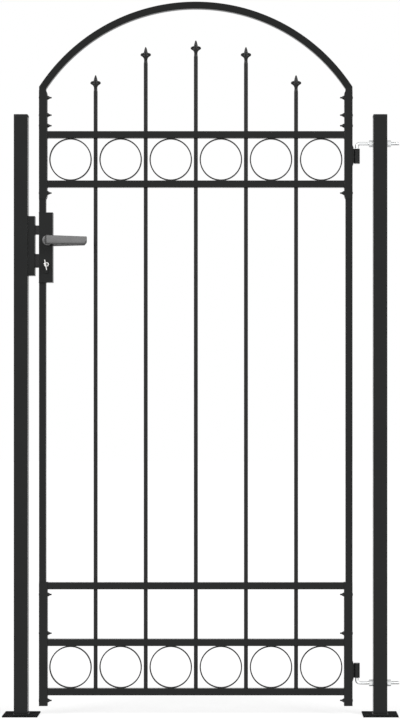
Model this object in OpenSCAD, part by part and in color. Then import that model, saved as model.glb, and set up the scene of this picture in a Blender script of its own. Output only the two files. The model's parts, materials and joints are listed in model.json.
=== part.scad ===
// Arched steel garden gate: one leaf of square tube, hung on two L-bolts
// between two square posts, with a box lock, two levers and a keeper.
// Origin: centre of the hinge post's base plate, on its underside.
// +X runs from the latch post to the hinge post, +Y to the back, +Z up.

/* [Leaf frame] */
// Width of the leaf over its two stiles
leaf_w = 896; // [700:1:1200]
// Height from the ground to the crown of the arch
gate_h = 2040; // [1900:1:2400]
// Rise of the arch above the outer corners of the stiles
arch_rise = 243; // [150:1:300]
// Gap between the ground and the foot of the leaf
ground_gap = 27; // [15:1:60]
// Side of the square tube of the leaf
tube_w = 20; // [16:1:30]
// Wall of the leaf's square tube
tube_wall = 1.5; // [1:0.1:2.5]
// Corner radius of the leaf's square tube
tube_r = 2; // [0.5:0.1:3]
// Thickness of the plug head that closes the foot of a stile
plug_t = 3; // [2:0.5:5]
// Depth of the plug inside the stile
plug_depth = 14; // [8:1:30]

/* [Rails and rings] */
// Height of the foot rail's underside
foot_rail_z = 57; // [40:1:90]
// Height of the underside of the rail above the lower ring band
mid_rail_z = 360; // [300:1:500]
// Distance from the crown of the arch down to the foot of the upper ring band
band_drop = 531; // [500:1:640]
// Gap between a ring and the bars beside it
ring_gap = 5.45; // [3:0.05:12]
// Thickness of the ring's flat strip
ring_t = 3; // [1.5:0.1:4]
// Depth of the ring's flat strip, front to back
ring_depth = 10; // [6:1:20]
// How far the rings are ground flat where they meet the rails
ring_flat = 0.2; // [0.1:0.05:0.5]

/* [Bars and spears] */
// Diameter of a vertical bar
bar_d = 11.5; // [8:0.5:14]
// Wall of a vertical bar
bar_wall = 1.5; // [1:0.1:3]
// Clearance round a bar in the rail it passes through
bar_clear = 0.2; // [0.1:0.05:0.5]
// Distance from the crown of the arch down to the middle spear's tip
spear_drop = 109.5; // [90:0.5:200]
// How much lower the second and fourth tips are
spear_drop_inner = 19; // [0:0.5:60]
// How much lower the outer tips are
spear_drop_outer = 99.5; // [60:0.5:140]
// Height of a spear from the bar to its tip
spear_h = 50; // [35:0.5:80]
// Span of a spear's two arms
spear_span = 30; // [20:0.5:40]
// Thickness of a spear's arms
spear_t = 7; // [4:0.5:10]

/* [Sleeves] */
// Sheet thickness of the U sleeves round the stiles
sleeve_t = 2; // [1.5:0.1:3]
// Width of a sleeve from the leaf's outer face to its web
sleeve_w = 23.5; // [22:0.1:34]
// Outer radius of a sleeve's two bends
sleeve_r = 3; // [2.5:0.1:5]
// How far an upper sleeve's web reaches below the upper ring band
upper_sleeve_foot = 25; // [10:1:60]
// Distance from the foot of the arch down to an upper sleeve's web
upper_sleeve_drop = 19; // [14:1:60]
// Length of the slanted cut at the ends of an upper sleeve
sleeve_slant = 8; // [4:1:12]

/* [Posts] */
// Side of a square post
post_w = 40; // [30:1:80]
// Wall of a post
post_wall = 2; // [1.5:0.1:4]
// Corner radius of a post
post_r = 3; // [1:0.5:5]
// How far a post's top stands below the crown of the arch
post_drop = 323; // [40:1:350]
// Gap between the latch post and the leaf
latch_gap = 31.3; // [26:0.1:60]
// Gap between the hinge post and the leaf
hinge_gap = 59; // [50:0.5:80]
// Height of a post cap's head
cap_t = 8; // [4:0.5:12]
// Radius of the edges round a post cap's top
cap_r = 3.5; // [1:0.5:3.5]
// Depth of a post cap's skirt inside the post
cap_depth = 12; // [6:1:25]
// Side of a square base plate
base_w = 100; // [80:1:160]
// Thickness of a base plate
base_t = 4; // [3:0.5:10]
// Distance between the anchor holes of a base plate
anchor_pitch = 75; // [60:1:78]
// Diameter of an anchor hole
anchor_d = 11; // [8:0.5:14]

/* [Hinges] */
// Distance from the leaf to the hinge axis
hinge_offset = 12.8; // [12:0.1:18]
// Outside diameter of a hinge barrel
barrel_d = 17; // [15:0.5:20]
// Length of a hinge barrel
barrel_l = 40; // [30:1:60]
// Height of the middle of the upper barrel above the foot of its ring band
upper_barrel_up = 91; // [60:1:100]
// Height of the middle of the lower barrel above the foot rail
lower_barrel_up = 70; // [55:1:100]
// Diameter of an L-bolt
lbolt_d = 10; // [8:0.5:12]
// Radial clearance of an L-bolt in its barrel
pin_clear = 0.1; // [0.05:0.01:0.2]
// Bend radius of an L-bolt at its centre line
lbolt_bend_r = 8; // [7:0.5:12]
// Distance from a barrel's middle to its L-bolt's arm
lbolt_arm_offset = 34.8; // [32:0.1:45]
// How far an L-bolt's pin sticks out of the barrel
pin_proud = 3; // [1:0.5:15]
// Free end of an L-bolt past the post
lbolt_tail = 35; // [20:1:60]
// Clearance round an L-bolt in the post
lbolt_clear = 0.25; // [0.1:0.05:1]
// Thickness of a hinge's weld plate
hinge_plate_t = 3; // [2:0.1:4]
// Height of a hinge's weld plate
hinge_plate_h = 57; // [44:1:60]
// Width across the flats of the L-bolt nuts
nut_af = 17; // [13:1:19]
// Thickness of an L-bolt nut
nut_t = 9.5; // [6:0.5:12]
// Diameter of an L-bolt washer
washer_d = 20; // [16:0.5:30]
// Thickness of an L-bolt washer
washer_t = 2; // [1:0.5:3]

/* [Lock] */
// Width of the lock case
case_w = 40; // [38:1:60]
// Height of the lock case
case_h = 200; // [180:1:240]
// Depth of the lock case, front to back
case_depth = 30; // [26:1:40]
// Sheet thickness of the lock case
case_t = 2; // [1.5:0.1:3]
// Radius of the long edges of the lock case and the keeper
case_r = 2; // [0.5:0.1:2.5]
// Distance from the upper ring band down to the foot of the lock case
lock_drop = 272; // [260:1:500]
// Distance from the leaf's edge to the spindle
backset = 25.5; // [25:0.5:26]
// Height of the spindle above the foot of the case
spindle_up = 120.5; // [115:0.5:122]
// Height of the cylinder plug above the foot of the case
cylinder_up = 51; // [46:0.5:58]
// Diameter of the cylinder plug's round head
cylinder_d = 17; // [15:0.5:17.5]
// Overall height of the cylinder's profile
cylinder_h = 33; // [28:0.5:36]
// Width of the cylinder's straight leg
cylinder_leg = 10; // [8:0.5:11]
// How far the cylinder stands out of the case on each side
cylinder_proud = 3; // [1:0.5:6]
// Clearance round the cylinder in the case
cylinder_clear = 0.2; // [0.1:0.05:0.5]
// Diameter of a rosette
rosette_d = 31; // [24:0.5:34]
// Thickness of a rosette
rosette_t = 4; // [2:0.5:6]
// Height of the latch bolt
latch_h = 26; // [16:0.5:30]
// Thickness of the latch bolt
latch_t = 12; // [8:0.5:16]
// Height of the middle of the latch bolt above the foot of the case
latch_up = 150.5; // [148:0.5:156]
// How far the thrown latch bolt stands out of the case
latch_throw = 16; // [13:0.5:18]
// Height of the deadbolt's head
deadbolt_h = 39; // [34:0.5:44]
// Thickness of the deadbolt
deadbolt_t = 10; // [8:0.5:12]
// Height of the middle of the deadbolt above the foot of the case
deadbolt_up = 62.5; // [60:0.5:66]
// How far the thrown deadbolt stands out of the case
deadbolt_throw = 15.5; // [13:0.5:16]
// Height of the deadbolt's tail, which passes over the cylinder
tail_h = 15; // [10:0.5:16]
// Clearance of a bolt in its slot
bolt_clear = 0.4; // [0.2:0.05:1]

/* [Levers] */
// Side of the square spindle
spindle_w = 8; // [7:0.5:9]
// Diameter of a lever's neck
neck_d = 14; // [13:0.5:20]
// Length of the front lever from its axis to its end
front_lever_l = 113.5; // [90:0.5:140]
// Length of the rear lever from its axis to its end
rear_lever_l = 107; // [90:0.5:140]
// Height of a lever at its root
lever_root_h = 25; // [20:0.5:28]
// Height of a lever's end above its axis
lever_tip_top = 8.5; // [6:0.5:12]
// How far the front lever's end reaches below its axis
front_tip_foot = 15.5; // [8:0.5:18]
// How far the rear lever's end reaches below its axis
rear_tip_foot = 10.5; // [8:0.5:18]
// Thickness of a lever's grip
lever_t = 11; // [8:0.5:14]
// Distance from the gate's middle plane to a lever's outer face
lever_reach = 48; // [40:0.5:60]
// Length of the cut corners at a lever's end
lever_chamfer = 3; // [1:0.5:6]
// Outer radius of the bend between a lever's neck and grip
lever_bend_r = 9; // [4:0.5:11]
// Running clearance of a lever in its rosette
neck_clear = 0.3; // [0.1:0.05:0.5]

/* [Key] */
// How much nearer the latch post the cylinder sits than the levers' axis
cylinder_out = 3.5; // [0:0.5:5]
// Diameter of the cylinder's turning core
core_d = 13; // [10:0.5:13.5]
// How far the core stands out of the cylinder
core_proud = 0.5; // [0.2:0.1:2]
// Running clearance of the core in the cylinder
core_clear = 0.15; // [0.05:0.01:0.3]
// Angle at which the core and the key stand
key_angle = 11; // [0:1:20]
// Thickness of the key
key_t = 2.4; // [2:0.1:3]
// Height of the key's bow
key_bow_h = 32.5; // [18:0.5:36]
// How far the middle of the bow hangs below the core's axis
key_bow_drop = 2; // [0:0.5:3]
// Length of the key's bow
key_bow_l = 22; // [18:0.5:28]
// Corner radius of the key's bow
key_bow_r = 8; // [3:0.5:8.5]
// Diameter of the hole in the key's bow
key_hole_d = 5; // [3:0.5:7]
// Height of the key's shoulder
key_shoulder_h = 10.5; // [9:0.5:12]
// Length of the key's shoulder
key_shoulder_l = 7; // [3:0.5:10]
// Height of the key's blade
key_blade_h = 8; // [6:0.5:8.5]
// Length of the key's blade inside the core
key_blade_l = 11; // [8:0.5:12]
// Depth of the cuts in the key's blade
key_cut = 2; // [1:0.1:3]
// Clearance of the key's blade in the core
keyway_clear = 0.1; // [0.05:0.05:0.2]

/* [Keeper] */
// Width of the keeper between the latch post and the leaf
keeper_w = 20; // [16:0.5:25]
// Height of the keeper
keeper_h = 170; // [160:1:200]
// Height of the foot of the keeper above the foot of the lock case
keeper_up = 19.5; // [5:0.5:24]
// Depth of the keeper, front to back
keeper_depth = 30; // [24:1:38]
// Sheet thickness of the keeper
keeper_t = 2; // [1.5:0.1:3]
// Clearance of a bolt in the keeper's slot
keeper_clear = 2; // [1:0.5:4]

/* [Hidden] */

// cuts run this far past the faces they cut
over = 1;
// circles are true circles in the solids
$fn = 48;

// places along X
leaf_x1 = -post_w / 2 - hinge_gap;
leaf_x0 = leaf_x1 - leaf_w;
leaf_mid = (leaf_x0 + leaf_x1) / 2;
latch_post_x = leaf_x0 - latch_gap - post_w / 2;
hinge_x = leaf_x1 + hinge_offset;
lock_x = leaf_x0 + backset;
cylinder_x = lock_x - cylinder_out;

// the arch is one arc through the outer corners of the stiles
kink_z = gate_h - arch_rise;
half_w = leaf_w / 2;
arch_r = (half_w * half_w + arch_rise * arch_rise) / (2 * arch_rise);
arch_z = gate_h - arch_r;
arch_inner_r = arch_r - tube_w;
inner_half_w = half_w - tube_w;
mitre_z = arch_z + sqrt(arch_inner_r * arch_inner_r - inner_half_w * inner_half_w);
mitre_drop = kink_z - mitre_z;

// heights that follow the crown of the arch
band_rail_z = gate_h - band_drop;
post_h = gate_h - post_drop;
upper_sleeve_z0 = band_rail_z - upper_sleeve_foot;
upper_sleeve_z1 = kink_z - upper_sleeve_drop;
upper_barrel_z = band_rail_z + upper_barrel_up;
lower_barrel_z = foot_rail_z + lower_barrel_up;
case_z = band_rail_z - lock_drop;

// bars and rings share the clear width between the sleeves evenly
bar_n = 5;
ring_n = bar_n + 1;
bar_pitch = (leaf_w - 2 * sleeve_w + bar_d) / ring_n;
band_h = bar_pitch - bar_d - 2 * ring_gap;

// rails, from the top one down
rail_z = [band_rail_z + tube_w + band_h, band_rail_z, mid_rail_z,
          foot_rail_z + tube_w + band_h, foot_rail_z];
rail_l = leaf_w - 2 * sleeve_w;

// bars and spears, from the latch side
bar_x = [for (i = [0:bar_n - 1]) leaf_mid + (i - (bar_n - 1) / 2) * bar_pitch];
tip_z = [for (drop = [spear_drop_outer, spear_drop_inner, 0, spear_drop_inner, spear_drop_outer])
         gate_h - spear_drop - drop];
ring_x = [for (i = [0:ring_n - 1]) leaf_mid + (i - (ring_n - 1) / 2) * bar_pitch];

// feet and heads
stile_z0 = ground_gap + plug_t;
post_z1 = post_h - cap_t;
case_z1 = case_z + case_h;
spindle_z = case_z + spindle_up;
cylinder_z = case_z + cylinder_up;
latch_z = case_z + latch_up;
deadbolt_z = case_z + deadbolt_up;
keeper_z = case_z + keeper_up;
case_face_y = case_depth / 2;
// share of the case's width that a thrown bolt reaches into
bolt_reach = 0.45;

// a square with round corners, centred on the origin
module round_square(width, radius) {
  square([width, width - 2 * radius], center = true);
  square([width - 2 * radius, width], center = true);
  for (sx = [-1, 1], sy = [-1, 1])
    translate([sx, sy] * (width / 2 - radius)) circle(r = radius);
}

// section of a drawn square tube: round outside, square inside
module tube_section(width = tube_w, wall = tube_wall, radius = tube_r) {
  difference() {
    round_square(width, radius);
    square(width - 2 * wall, center = true);
  }
}

// a square tube along Z from the origin
module tube(length, width = tube_w, wall = tube_wall, radius = tube_r) {
  linear_extrude(length) tube_section(width, wall, radius);
}

// a block given by its low corner and its size
module block(low, size) {
  translate(low) cube(size);
}

// a rectangle with round corners, centred on the origin
module round_rect(size, radius) {
  square([size[0], size[1] - 2 * radius], center = true);
  square([size[0] - 2 * radius, size[1]], center = true);
  for (sx = [-1, 1], sy = [-1, 1])
    translate([sx * (size[0] / 2 - radius), sy * (size[1] / 2 - radius)]) circle(r = radius);
}

// a strip of plan that starts at X = 0 and has two round corners at its far end
module round_end(length, width, radius) {
  translate([0, -width / 2]) square([length - radius, width]);
  translate([0, radius - width / 2]) square([length, width - 2 * radius]);
  for (side = [-1, 1]) translate([length - radius, side * (width / 2 - radius)]) circle(r = radius);
}

// a cylinder along Y, centred on the gate's middle plane
module y_cylinder(x, z, length, diameter) {
  translate([x, 0, z]) rotate([90, 0, 0]) cylinder(h = length, d = diameter, center = true);
}

// ---- posts ----

module post(x) {
  translate([x, 0, base_t]) tube(post_z1 - base_t, post_w, post_wall, post_r);
}

module base_plate(x) {
  translate([x, 0, 0]) difference() {
    linear_extrude(base_t) square(base_w, center = true);
    for (sx = [-1, 1], sy = [-1, 1])
      translate([sx * anchor_pitch / 2, sy * anchor_pitch / 2, -over])
        cylinder(h = base_t + 2 * over, d = anchor_d);
  }
}

// side view of a cap's head: straight sides and round upper corners
module cap_side() {
  translate([-post_w / 2, 0]) square([post_w, cap_t - cap_r]);
  translate([-post_w / 2 + cap_r, 0]) square([post_w - 2 * cap_r, cap_t]);
  for (side = [-1, 1]) translate([side * (post_w / 2 - cap_r), cap_t - cap_r]) circle(r = cap_r);
}

// a moulded cap: a round-edged head on the post and a skirt inside it
module post_cap(x) {
  skirt_w = post_w - 2 * post_wall;
  translate([x, 0, post_z1]) {
    intersection() {
      rotate([90, 0, 0]) linear_extrude(post_w, center = true) cap_side();
      rotate([90, 0, 90]) linear_extrude(post_w, center = true) cap_side();
      linear_extrude(cap_t) round_square(post_w, post_r);
    }
    translate([0, 0, -cap_depth]) tube(cap_depth, skirt_w, post_wall, post_wall / 2);
  }
}

module latch_post() color("#2b2d2c") post(latch_post_x);
module latch_post_base() color("#2b2d2c") base_plate(latch_post_x);
module latch_post_cap() color("#2b2d2c") post_cap(latch_post_x);
module hinge_post_base() color("#2b2d2c") base_plate(0);
module hinge_post_cap() color("#2b2d2c") post_cap(0);

// the hinge post is drilled right through for the two L-bolts
module hinge_post() color("#2b2d2c") difference() {
  post(0);
  for (z = [upper_arm_z, lower_arm_z])
    translate([0, 0, z]) rotate([0, 90, 0])
      cylinder(h = post_w + 2 * over, d = lbolt_d + 2 * lbolt_clear, center = true);
}

// a sheet box on the post with a slot for each bolt
module keeper() color("#2b2d2c") {
  x0 = latch_post_x + post_w / 2;
  inner = [keeper_w - keeper_t, keeper_depth - 2 * keeper_t, keeper_h - 2 * keeper_t];
  difference() {
    translate([x0, 0, keeper_z]) linear_extrude(keeper_h) round_end(keeper_w, keeper_depth, case_r);
    block([x0 - over, -inner[1] / 2, keeper_z + keeper_t], [inner[0] + over, inner[1], inner[2]]);
    keeper_slot(x0, latch_z, latch_h, latch_t);
    keeper_slot(x0, deadbolt_z, deadbolt_h, deadbolt_t);
  }
}

module keeper_slot(x0, z, height, thickness) {
  slot = [keeper_w, thickness + 2 * keeper_clear, height + 2 * keeper_clear];
  block([x0 + over, -slot[1] / 2, z - slot[2] / 2], slot);
}

// ---- hinges ----

upper_arm_z = upper_barrel_z + lbolt_arm_offset;
lower_arm_z = lower_barrel_z - lbolt_arm_offset;

// an L-bolt, drawn with its pin pointing down from an arm at z
module lbolt() {
  bend_x = hinge_x + lbolt_bend_r;
  arm_l = post_w / 2 + lbolt_tail - bend_x;
  pin_l = lbolt_arm_offset - lbolt_bend_r + barrel_l / 2 + pin_proud;
  translate([bend_x, 0, 0]) rotate([0, 90, 0]) cylinder(h = arm_l, d = lbolt_d);
  translate([bend_x, 0, -lbolt_bend_r]) rotate([90, 0, 0])
    rotate([0, 0, 90]) rotate_extrude(angle = 90) translate([lbolt_bend_r, 0]) circle(d = lbolt_d);
  translate([hinge_x, 0, -lbolt_bend_r - pin_l]) cylinder(h = pin_l, d = lbolt_d);
}

module upper_hinge_bolt() color("#d8dadb") translate([0, 0, upper_arm_z]) lbolt();
module lower_hinge_bolt() color("#d8dadb") translate([0, 0, lower_arm_z]) mirror([0, 0, 1]) lbolt();

// a nut and washer against each face of the post
module hinge_nuts(z) {
  for (side = [-1, 1])
    translate([side * post_w / 2, 0, z]) rotate([0, side * 90, 0]) difference() {
      union() {
        cylinder(h = washer_t, d = washer_d);
        translate([0, 0, washer_t]) cylinder(h = nut_t, d = nut_af / cos(30), $fn = 6);
      }
      translate([0, 0, -over]) cylinder(h = washer_t + nut_t + 2 * over, d = lbolt_d);
    }
}

module upper_hinge_nuts() color("#d8dadb") hinge_nuts(upper_arm_z);
module lower_hinge_nuts() color("#d8dadb") hinge_nuts(lower_arm_z);

// barrel, weld neck and weld plate on the leaf's outer face
module hinge_barrel(z) {
  neck_w = barrel_d / 2;
  end_t = hinge_plate_t / 3;
  taper = 2 * hinge_plate_t;
  top = hinge_plate_h / 2;
  difference() {
    union() {
      translate([hinge_x, 0, z]) cylinder(h = barrel_l, d = barrel_d, center = true);
      block([leaf_x1, -neck_w / 2, z - barrel_l / 2], [hinge_offset, neck_w, barrel_l]);
      translate([leaf_x1, 0, z]) rotate([90, 0, 0]) linear_extrude(tube_w - 2 * tube_r, center = true)
        polygon([
          [0, -top], [end_t, -top], [hinge_plate_t, taper - top],
          [hinge_plate_t, top - taper], [end_t, top], [0, top],
        ]);
    }
    translate([hinge_x, 0, z])
      cylinder(h = hinge_plate_h + 2 * over, d = lbolt_d + 2 * pin_clear, center = true);
  }
}

module upper_hinge_barrel() color("#2b2d2c") hinge_barrel(upper_barrel_z);
module lower_hinge_barrel() color("#2b2d2c") hinge_barrel(lower_barrel_z);

// ---- leaf frame ----

// the space above the mitres, which the stiles stop under and the arch stands in
module above_mitre() {
  low = mitre_z;
  reach = tube_w * 2;
  rotate([90, 0, 0]) translate([0, 0, -tube_w]) linear_extrude(2 * tube_w)
    polygon([
      [leaf_x0 - reach, kink_z + mitre_drop * reach / tube_w],
      [leaf_x0, kink_z],
      [leaf_x0 + tube_w, low],
      [leaf_x1 - tube_w, low],
      [leaf_x1, kink_z],
      [leaf_x1 + reach, kink_z + mitre_drop * reach / tube_w],
      [leaf_x1 + reach, gate_h + reach],
      [leaf_x0 - reach, gate_h + reach],
    ]);
}

module stile(x, z0, z1) {
  difference() {
    translate([x, 0, z0]) tube(z1 - z0);
    above_mitre();
  }
}

latch_stile_x = leaf_x0 + tube_w / 2;
hinge_stile_x = leaf_x1 - tube_w / 2;

module latch_stile_upper() color("#2b2d2c") stile(latch_stile_x, case_z1, kink_z + over);
module latch_stile_lower() color("#2b2d2c") stile(latch_stile_x, stile_z0, case_z);
module hinge_stile() color("#2b2d2c") stile(hinge_stile_x, stile_z0, kink_z + over);

// the rolled tube of the arch, cut to the mitres
module arch() color("#2b2d2c") {
  mid_r = arch_r - tube_w / 2;
  span = acos((kink_z - mitre_drop * 2 - arch_z) / arch_r) + 5;
  intersection() {
    translate([leaf_mid, 0, arch_z]) rotate([90, 0, 0]) rotate([0, 0, 90 - span])
      rotate_extrude(angle = 2 * span, $fn = 180) translate([mid_r, 0]) tube_section();
    above_mitre();
  }
}

// section of a sleeve in plan: a U bent from sheet, open to the outside
module sleeve_section() {
  difference() {
    round_end(sleeve_w, tube_w + 2 * sleeve_t, sleeve_r);
    translate([-over, 0]) round_end(sleeve_w - sleeve_t + over, tube_w, sleeve_r - sleeve_t);
  }
}

// U sleeves that the stiles stand in, cut slanting at their ends
module sleeve(low, high, slant_low, slant_high) {
  depth = tube_w + 2 * sleeve_t;
  intersection() {
    translate([0, 0, low - slant_low]) linear_extrude(high - low + slant_low + slant_high)
      sleeve_section();
    rotate([90, 0, 0]) linear_extrude(depth + 2 * over, center = true)
      polygon([
        [-over, low - slant_low], [tube_w, low - slant_low], [sleeve_w, low], [sleeve_w + over, low],
        [sleeve_w + over, high], [sleeve_w, high], [tube_w, high + slant_high], [-over, high + slant_high],
      ]);
  }
}

module upper_sleeve() sleeve(upper_sleeve_z0, upper_sleeve_z1, sleeve_slant, sleeve_slant);
module lower_sleeve() sleeve(stile_z0, mid_rail_z + tube_w, 0, 0);
module on_latch_side() translate([leaf_x0, 0, 0]) children();
module on_hinge_side() translate([leaf_x1, 0, 0]) mirror([1, 0, 0]) children();

module latch_sleeve_upper() color("#2b2d2c") on_latch_side() upper_sleeve();
module latch_sleeve_lower() color("#2b2d2c") on_latch_side() lower_sleeve();
module hinge_sleeve_upper() color("#2b2d2c") on_hinge_side() upper_sleeve();
module hinge_sleeve_lower() color("#2b2d2c") on_hinge_side() lower_sleeve();

// plug that closes a stile's foot: a head under the tube and a skirt in it
module stile_plug(x) {
  translate([x, 0, ground_gap]) {
    linear_extrude(plug_t) round_square(tube_w, tube_r);
    translate([0, 0, plug_t]) tube(plug_depth, tube_w - 2 * tube_wall, tube_wall, tube_wall / 2);
  }
}

module latch_stile_plug() color("#222222") stile_plug(latch_stile_x);
module hinge_stile_plug() color("#222222") stile_plug(hinge_stile_x);

// ---- rails, bars, rings ----

// a rail between the sleeves, punched for the bars; the foot rail keeps its underside whole
module rail(i) {
  foot = i == len(rail_z) - 1;
  drill_low = foot ? tube_w / 2 : -over;
  difference() {
    translate([leaf_mid - rail_l / 2, 0, rail_z[i] + tube_w / 2]) rotate([0, 90, 0]) tube(rail_l);
    for (x = bar_x)
      translate([x, 0, rail_z[i] + drill_low])
        cylinder(h = tube_w - drill_low + over, d = bar_d + 2 * bar_clear);
  }
}

module rail_1() color("#2b2d2c") rail(0);
module rail_2() color("#2b2d2c") rail(1);
module rail_3() color("#2b2d2c") rail(2);
module rail_4() color("#2b2d2c") rail(3);
module rail_5() color("#2b2d2c") rail(4);

// a bar stands on the inside of the foot rail and carries its spear
module bar(i) {
  z0 = foot_rail_z + tube_wall;
  translate([bar_x[i], 0, z0]) difference() {
    cylinder(h = tip_z[i] - spear_h - z0, d = bar_d);
    translate([0, 0, -over])
      cylinder(h = tip_z[i] - spear_h - z0 + 2 * over, d = bar_d - 2 * bar_wall);
  }
}

module bar_1() color("#2b2d2c") bar(0);
module bar_2() color("#2b2d2c") bar(1);
module bar_3() color("#2b2d2c") bar(2);
module bar_4() color("#2b2d2c") bar(3);
module bar_5() color("#2b2d2c") bar(4);

// a cast spear: collar and waist below, a tapering point above, a leaf to each side
module spear() {
  r = bar_d / 2;
  h = spear_h;
  w = spear_span / 2;
  rotate_extrude() polygon([
    [0, 0], [r, 0], [r, h * 0.06], [r * 0.74, h * 0.19], [r * 0.72, h * 0.27], [r * 0.84, h * 0.36],
    [r * 0.97, h * 0.48], [r, h * 0.6], [r * 0.92, h * 0.7], [r * 0.68, h * 0.79],
    [r * 0.36, h * 0.91], [r * 0.12, h], [0, h],
  ]);
  for (side = [0, 1]) mirror([side, 0, 0])
    rotate([90, 0, 0]) linear_extrude(spear_t, center = true) polygon([
      [0, h * 0.29], [w * 0.27, h * 0.29], [w * 0.36, h * 0.35], [w * 0.54, h * 0.41],
      [w * 0.8, h * 0.45], [w * 0.96, h * 0.495], [w, h * 0.525], [w * 0.95, h * 0.57],
      [w * 0.85, h * 0.61], [w * 0.72, h * 0.64], [w * 0.58, h * 0.645], [w * 0.42, h * 0.63],
      [0, h * 0.63],
    ]);
}

module finial(i) {
  translate([bar_x[i], 0, tip_z[i] - spear_h]) spear();
}

module finial_1() color("#2b2d2c") finial(0);
module finial_2() color("#2b2d2c") finial(1);
module finial_3() color("#2b2d2c") finial(2);
module finial_4() color("#2b2d2c") finial(3);
module finial_5() color("#2b2d2c") finial(4);

// rolled strip rings, ground flat where they are welded between two rails
module rings(z0) {
  outer = band_h + 2 * ring_flat;
  for (x = ring_x) intersection() {
    translate([x, 0, z0 + band_h / 2]) rotate([90, 0, 0]) difference() {
      cylinder(h = ring_depth, d = outer, center = true, $fn = 96);
      cylinder(h = ring_depth + 2 * over, d = outer - 2 * ring_t, center = true, $fn = 96);
    }
    block([x - outer, -ring_depth, z0], [2 * outer, 2 * ring_depth, band_h]);
  }
}

module upper_rings() color("#2b2d2c") rings(band_rail_z + tube_w);
module lower_rings() color("#2b2d2c") rings(foot_rail_z + tube_w);

// ---- lock ----

// the round-headed profile of a lock cylinder, in the XZ plane, along Y
module cylinder_profile(grow, length) {
  leg_z = cylinder_z + cylinder_d / 2 - cylinder_h;
  y_cylinder(cylinder_x, cylinder_z, length, cylinder_d + 2 * grow);
  block([cylinder_x - cylinder_leg / 2 - grow, -length / 2, leg_z - grow],
        [cylinder_leg + 2 * grow, length, cylinder_z - leg_z + grow]);
}

// slot in the case's outer wall for a bolt
module case_slot(z, height, thickness) {
  slot = [case_t + 2 * over, thickness + 2 * bolt_clear, height + 2 * bolt_clear];
  block([leaf_x0 - over, -slot[1] / 2, z - slot[2] / 2], slot);
}

// a welded sheet box set into the stile
module lock_case() color("#2b2d2c") difference() {
  translate([leaf_x0 + case_w / 2, 0, case_z]) linear_extrude(case_h)
    round_rect([case_w, case_depth], case_r);
  block([leaf_x0 + case_t, -case_face_y + case_t, case_z + case_t],
        [case_w - 2 * case_t, case_depth - 2 * case_t, case_h - 2 * case_t]);
  case_slot(latch_z, latch_h, latch_t);
  case_slot(deadbolt_z, deadbolt_h, deadbolt_t);
  y_cylinder(lock_x, spindle_z, case_depth + 2 * over, neck_d);
  cylinder_profile(cylinder_clear, case_depth + 2 * over);
}

// two halves joined by a bridge below the deadbolt's path, the front one bored for its core
module lock_cylinder() color("#2b2d2c") {
  length = case_depth + 2 * cylinder_proud;
  gap = deadbolt_t + 2 * bolt_clear;
  bridge_z = deadbolt_z - deadbolt_h / 2 - bolt_clear;
  difference() {
    cylinder_profile(0, length);
    block([cylinder_x - cylinder_d, -gap / 2, bridge_z], [2 * cylinder_d, gap, cylinder_h]);
    translate([cylinder_x, -gap / 2 + over, cylinder_z]) rotate([90, 0, 0])
      cylinder(h = length, d = core_d + 2 * core_clear);
  }
}

// turned with the key to the angle at which they stand
module at_keyway() translate([cylinder_x, 0, cylinder_z]) rotate([0, -key_angle, 0]) children();

core_face_y = case_face_y + cylinder_proud + core_proud;
// the blade hangs this far below the core's axis
blade_drop = key_blade_h / 5;

module lock_core() color("#b9bcbd") at_keyway() {
  back_y = deadbolt_t / 2 + bolt_clear;
  way = [key_t + 2 * keyway_clear, core_face_y + over, key_blade_h + 2 * keyway_clear];
  difference() {
    translate([0, -back_y, 0]) rotate([90, 0, 0]) cylinder(h = core_face_y - back_y, d = core_d);
    block([-way[0] / 2, -core_face_y - over, -way[2] / 2 - blade_drop], [way[0], way[1] + over, way[2]]);
  }
}

// side view of the key: X runs out of the core, Y up
module key_side() {
  bow_x = key_shoulder_l + key_bow_l / 2;
  top = key_blade_h / 2 - blade_drop;
  pitch = key_blade_l / 5;
  difference() {
    translate([bow_x, -key_bow_drop]) round_rect([key_bow_l, key_bow_h], key_bow_r);
    translate([bow_x + key_bow_l / 2 - key_hole_d * 1.2, -key_bow_drop]) circle(d = key_hole_d);
  }
  translate([0, -key_shoulder_h / 2]) square([key_shoulder_l + over, key_shoulder_h]);
  polygon([
    [over, top - key_blade_h], [over, top], [-pitch, top], [-pitch * 1.5, top - key_cut * 0.6],
    [-pitch * 2, top - key_cut * 0.2], [-pitch * 2.6, top - key_cut], [-pitch * 3.2, top - key_cut * 0.3],
    [-pitch * 3.8, top - key_cut * 0.8], [-pitch * 4.4, top - key_cut * 0.4],
    [-key_blade_l, top - key_cut * 2], [-key_blade_l, top - key_blade_h + key_cut / 2],
    [-key_blade_l + key_cut / 2, top - key_blade_h],
  ]);
}

module key() color("#b9bcbd") at_keyway()
  translate([0, -core_face_y, 0]) rotate([90, 0, -90])
    linear_extrude(key_t, center = true) key_side();

module rosettes() color("#a9abac") {
  for (side = [-1, 1])
    translate([lock_x, side * (case_face_y + rosette_t / 2), spindle_z]) rotate([90, 0, 0])
      difference() {
        cylinder(h = rosette_t, d = rosette_d, center = true);
        cylinder(h = rosette_t + 2 * over, d = neck_d + 2 * neck_clear, center = true);
      }
}

// ---- levers ----

// side view of a lever: a round root and a grip with a cut lower corner
module lever_side(length, foot) {
  circle(d = lever_root_h);
  polygon([
    [0, -lever_root_h / 2], [length - lever_chamfer, -foot], [length, -foot + lever_chamfer],
    [length, lever_tip_top - lever_chamfer / 3], [length - lever_chamfer / 3, lever_tip_top],
    [0, lever_root_h / 2],
  ]);
}

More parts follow.
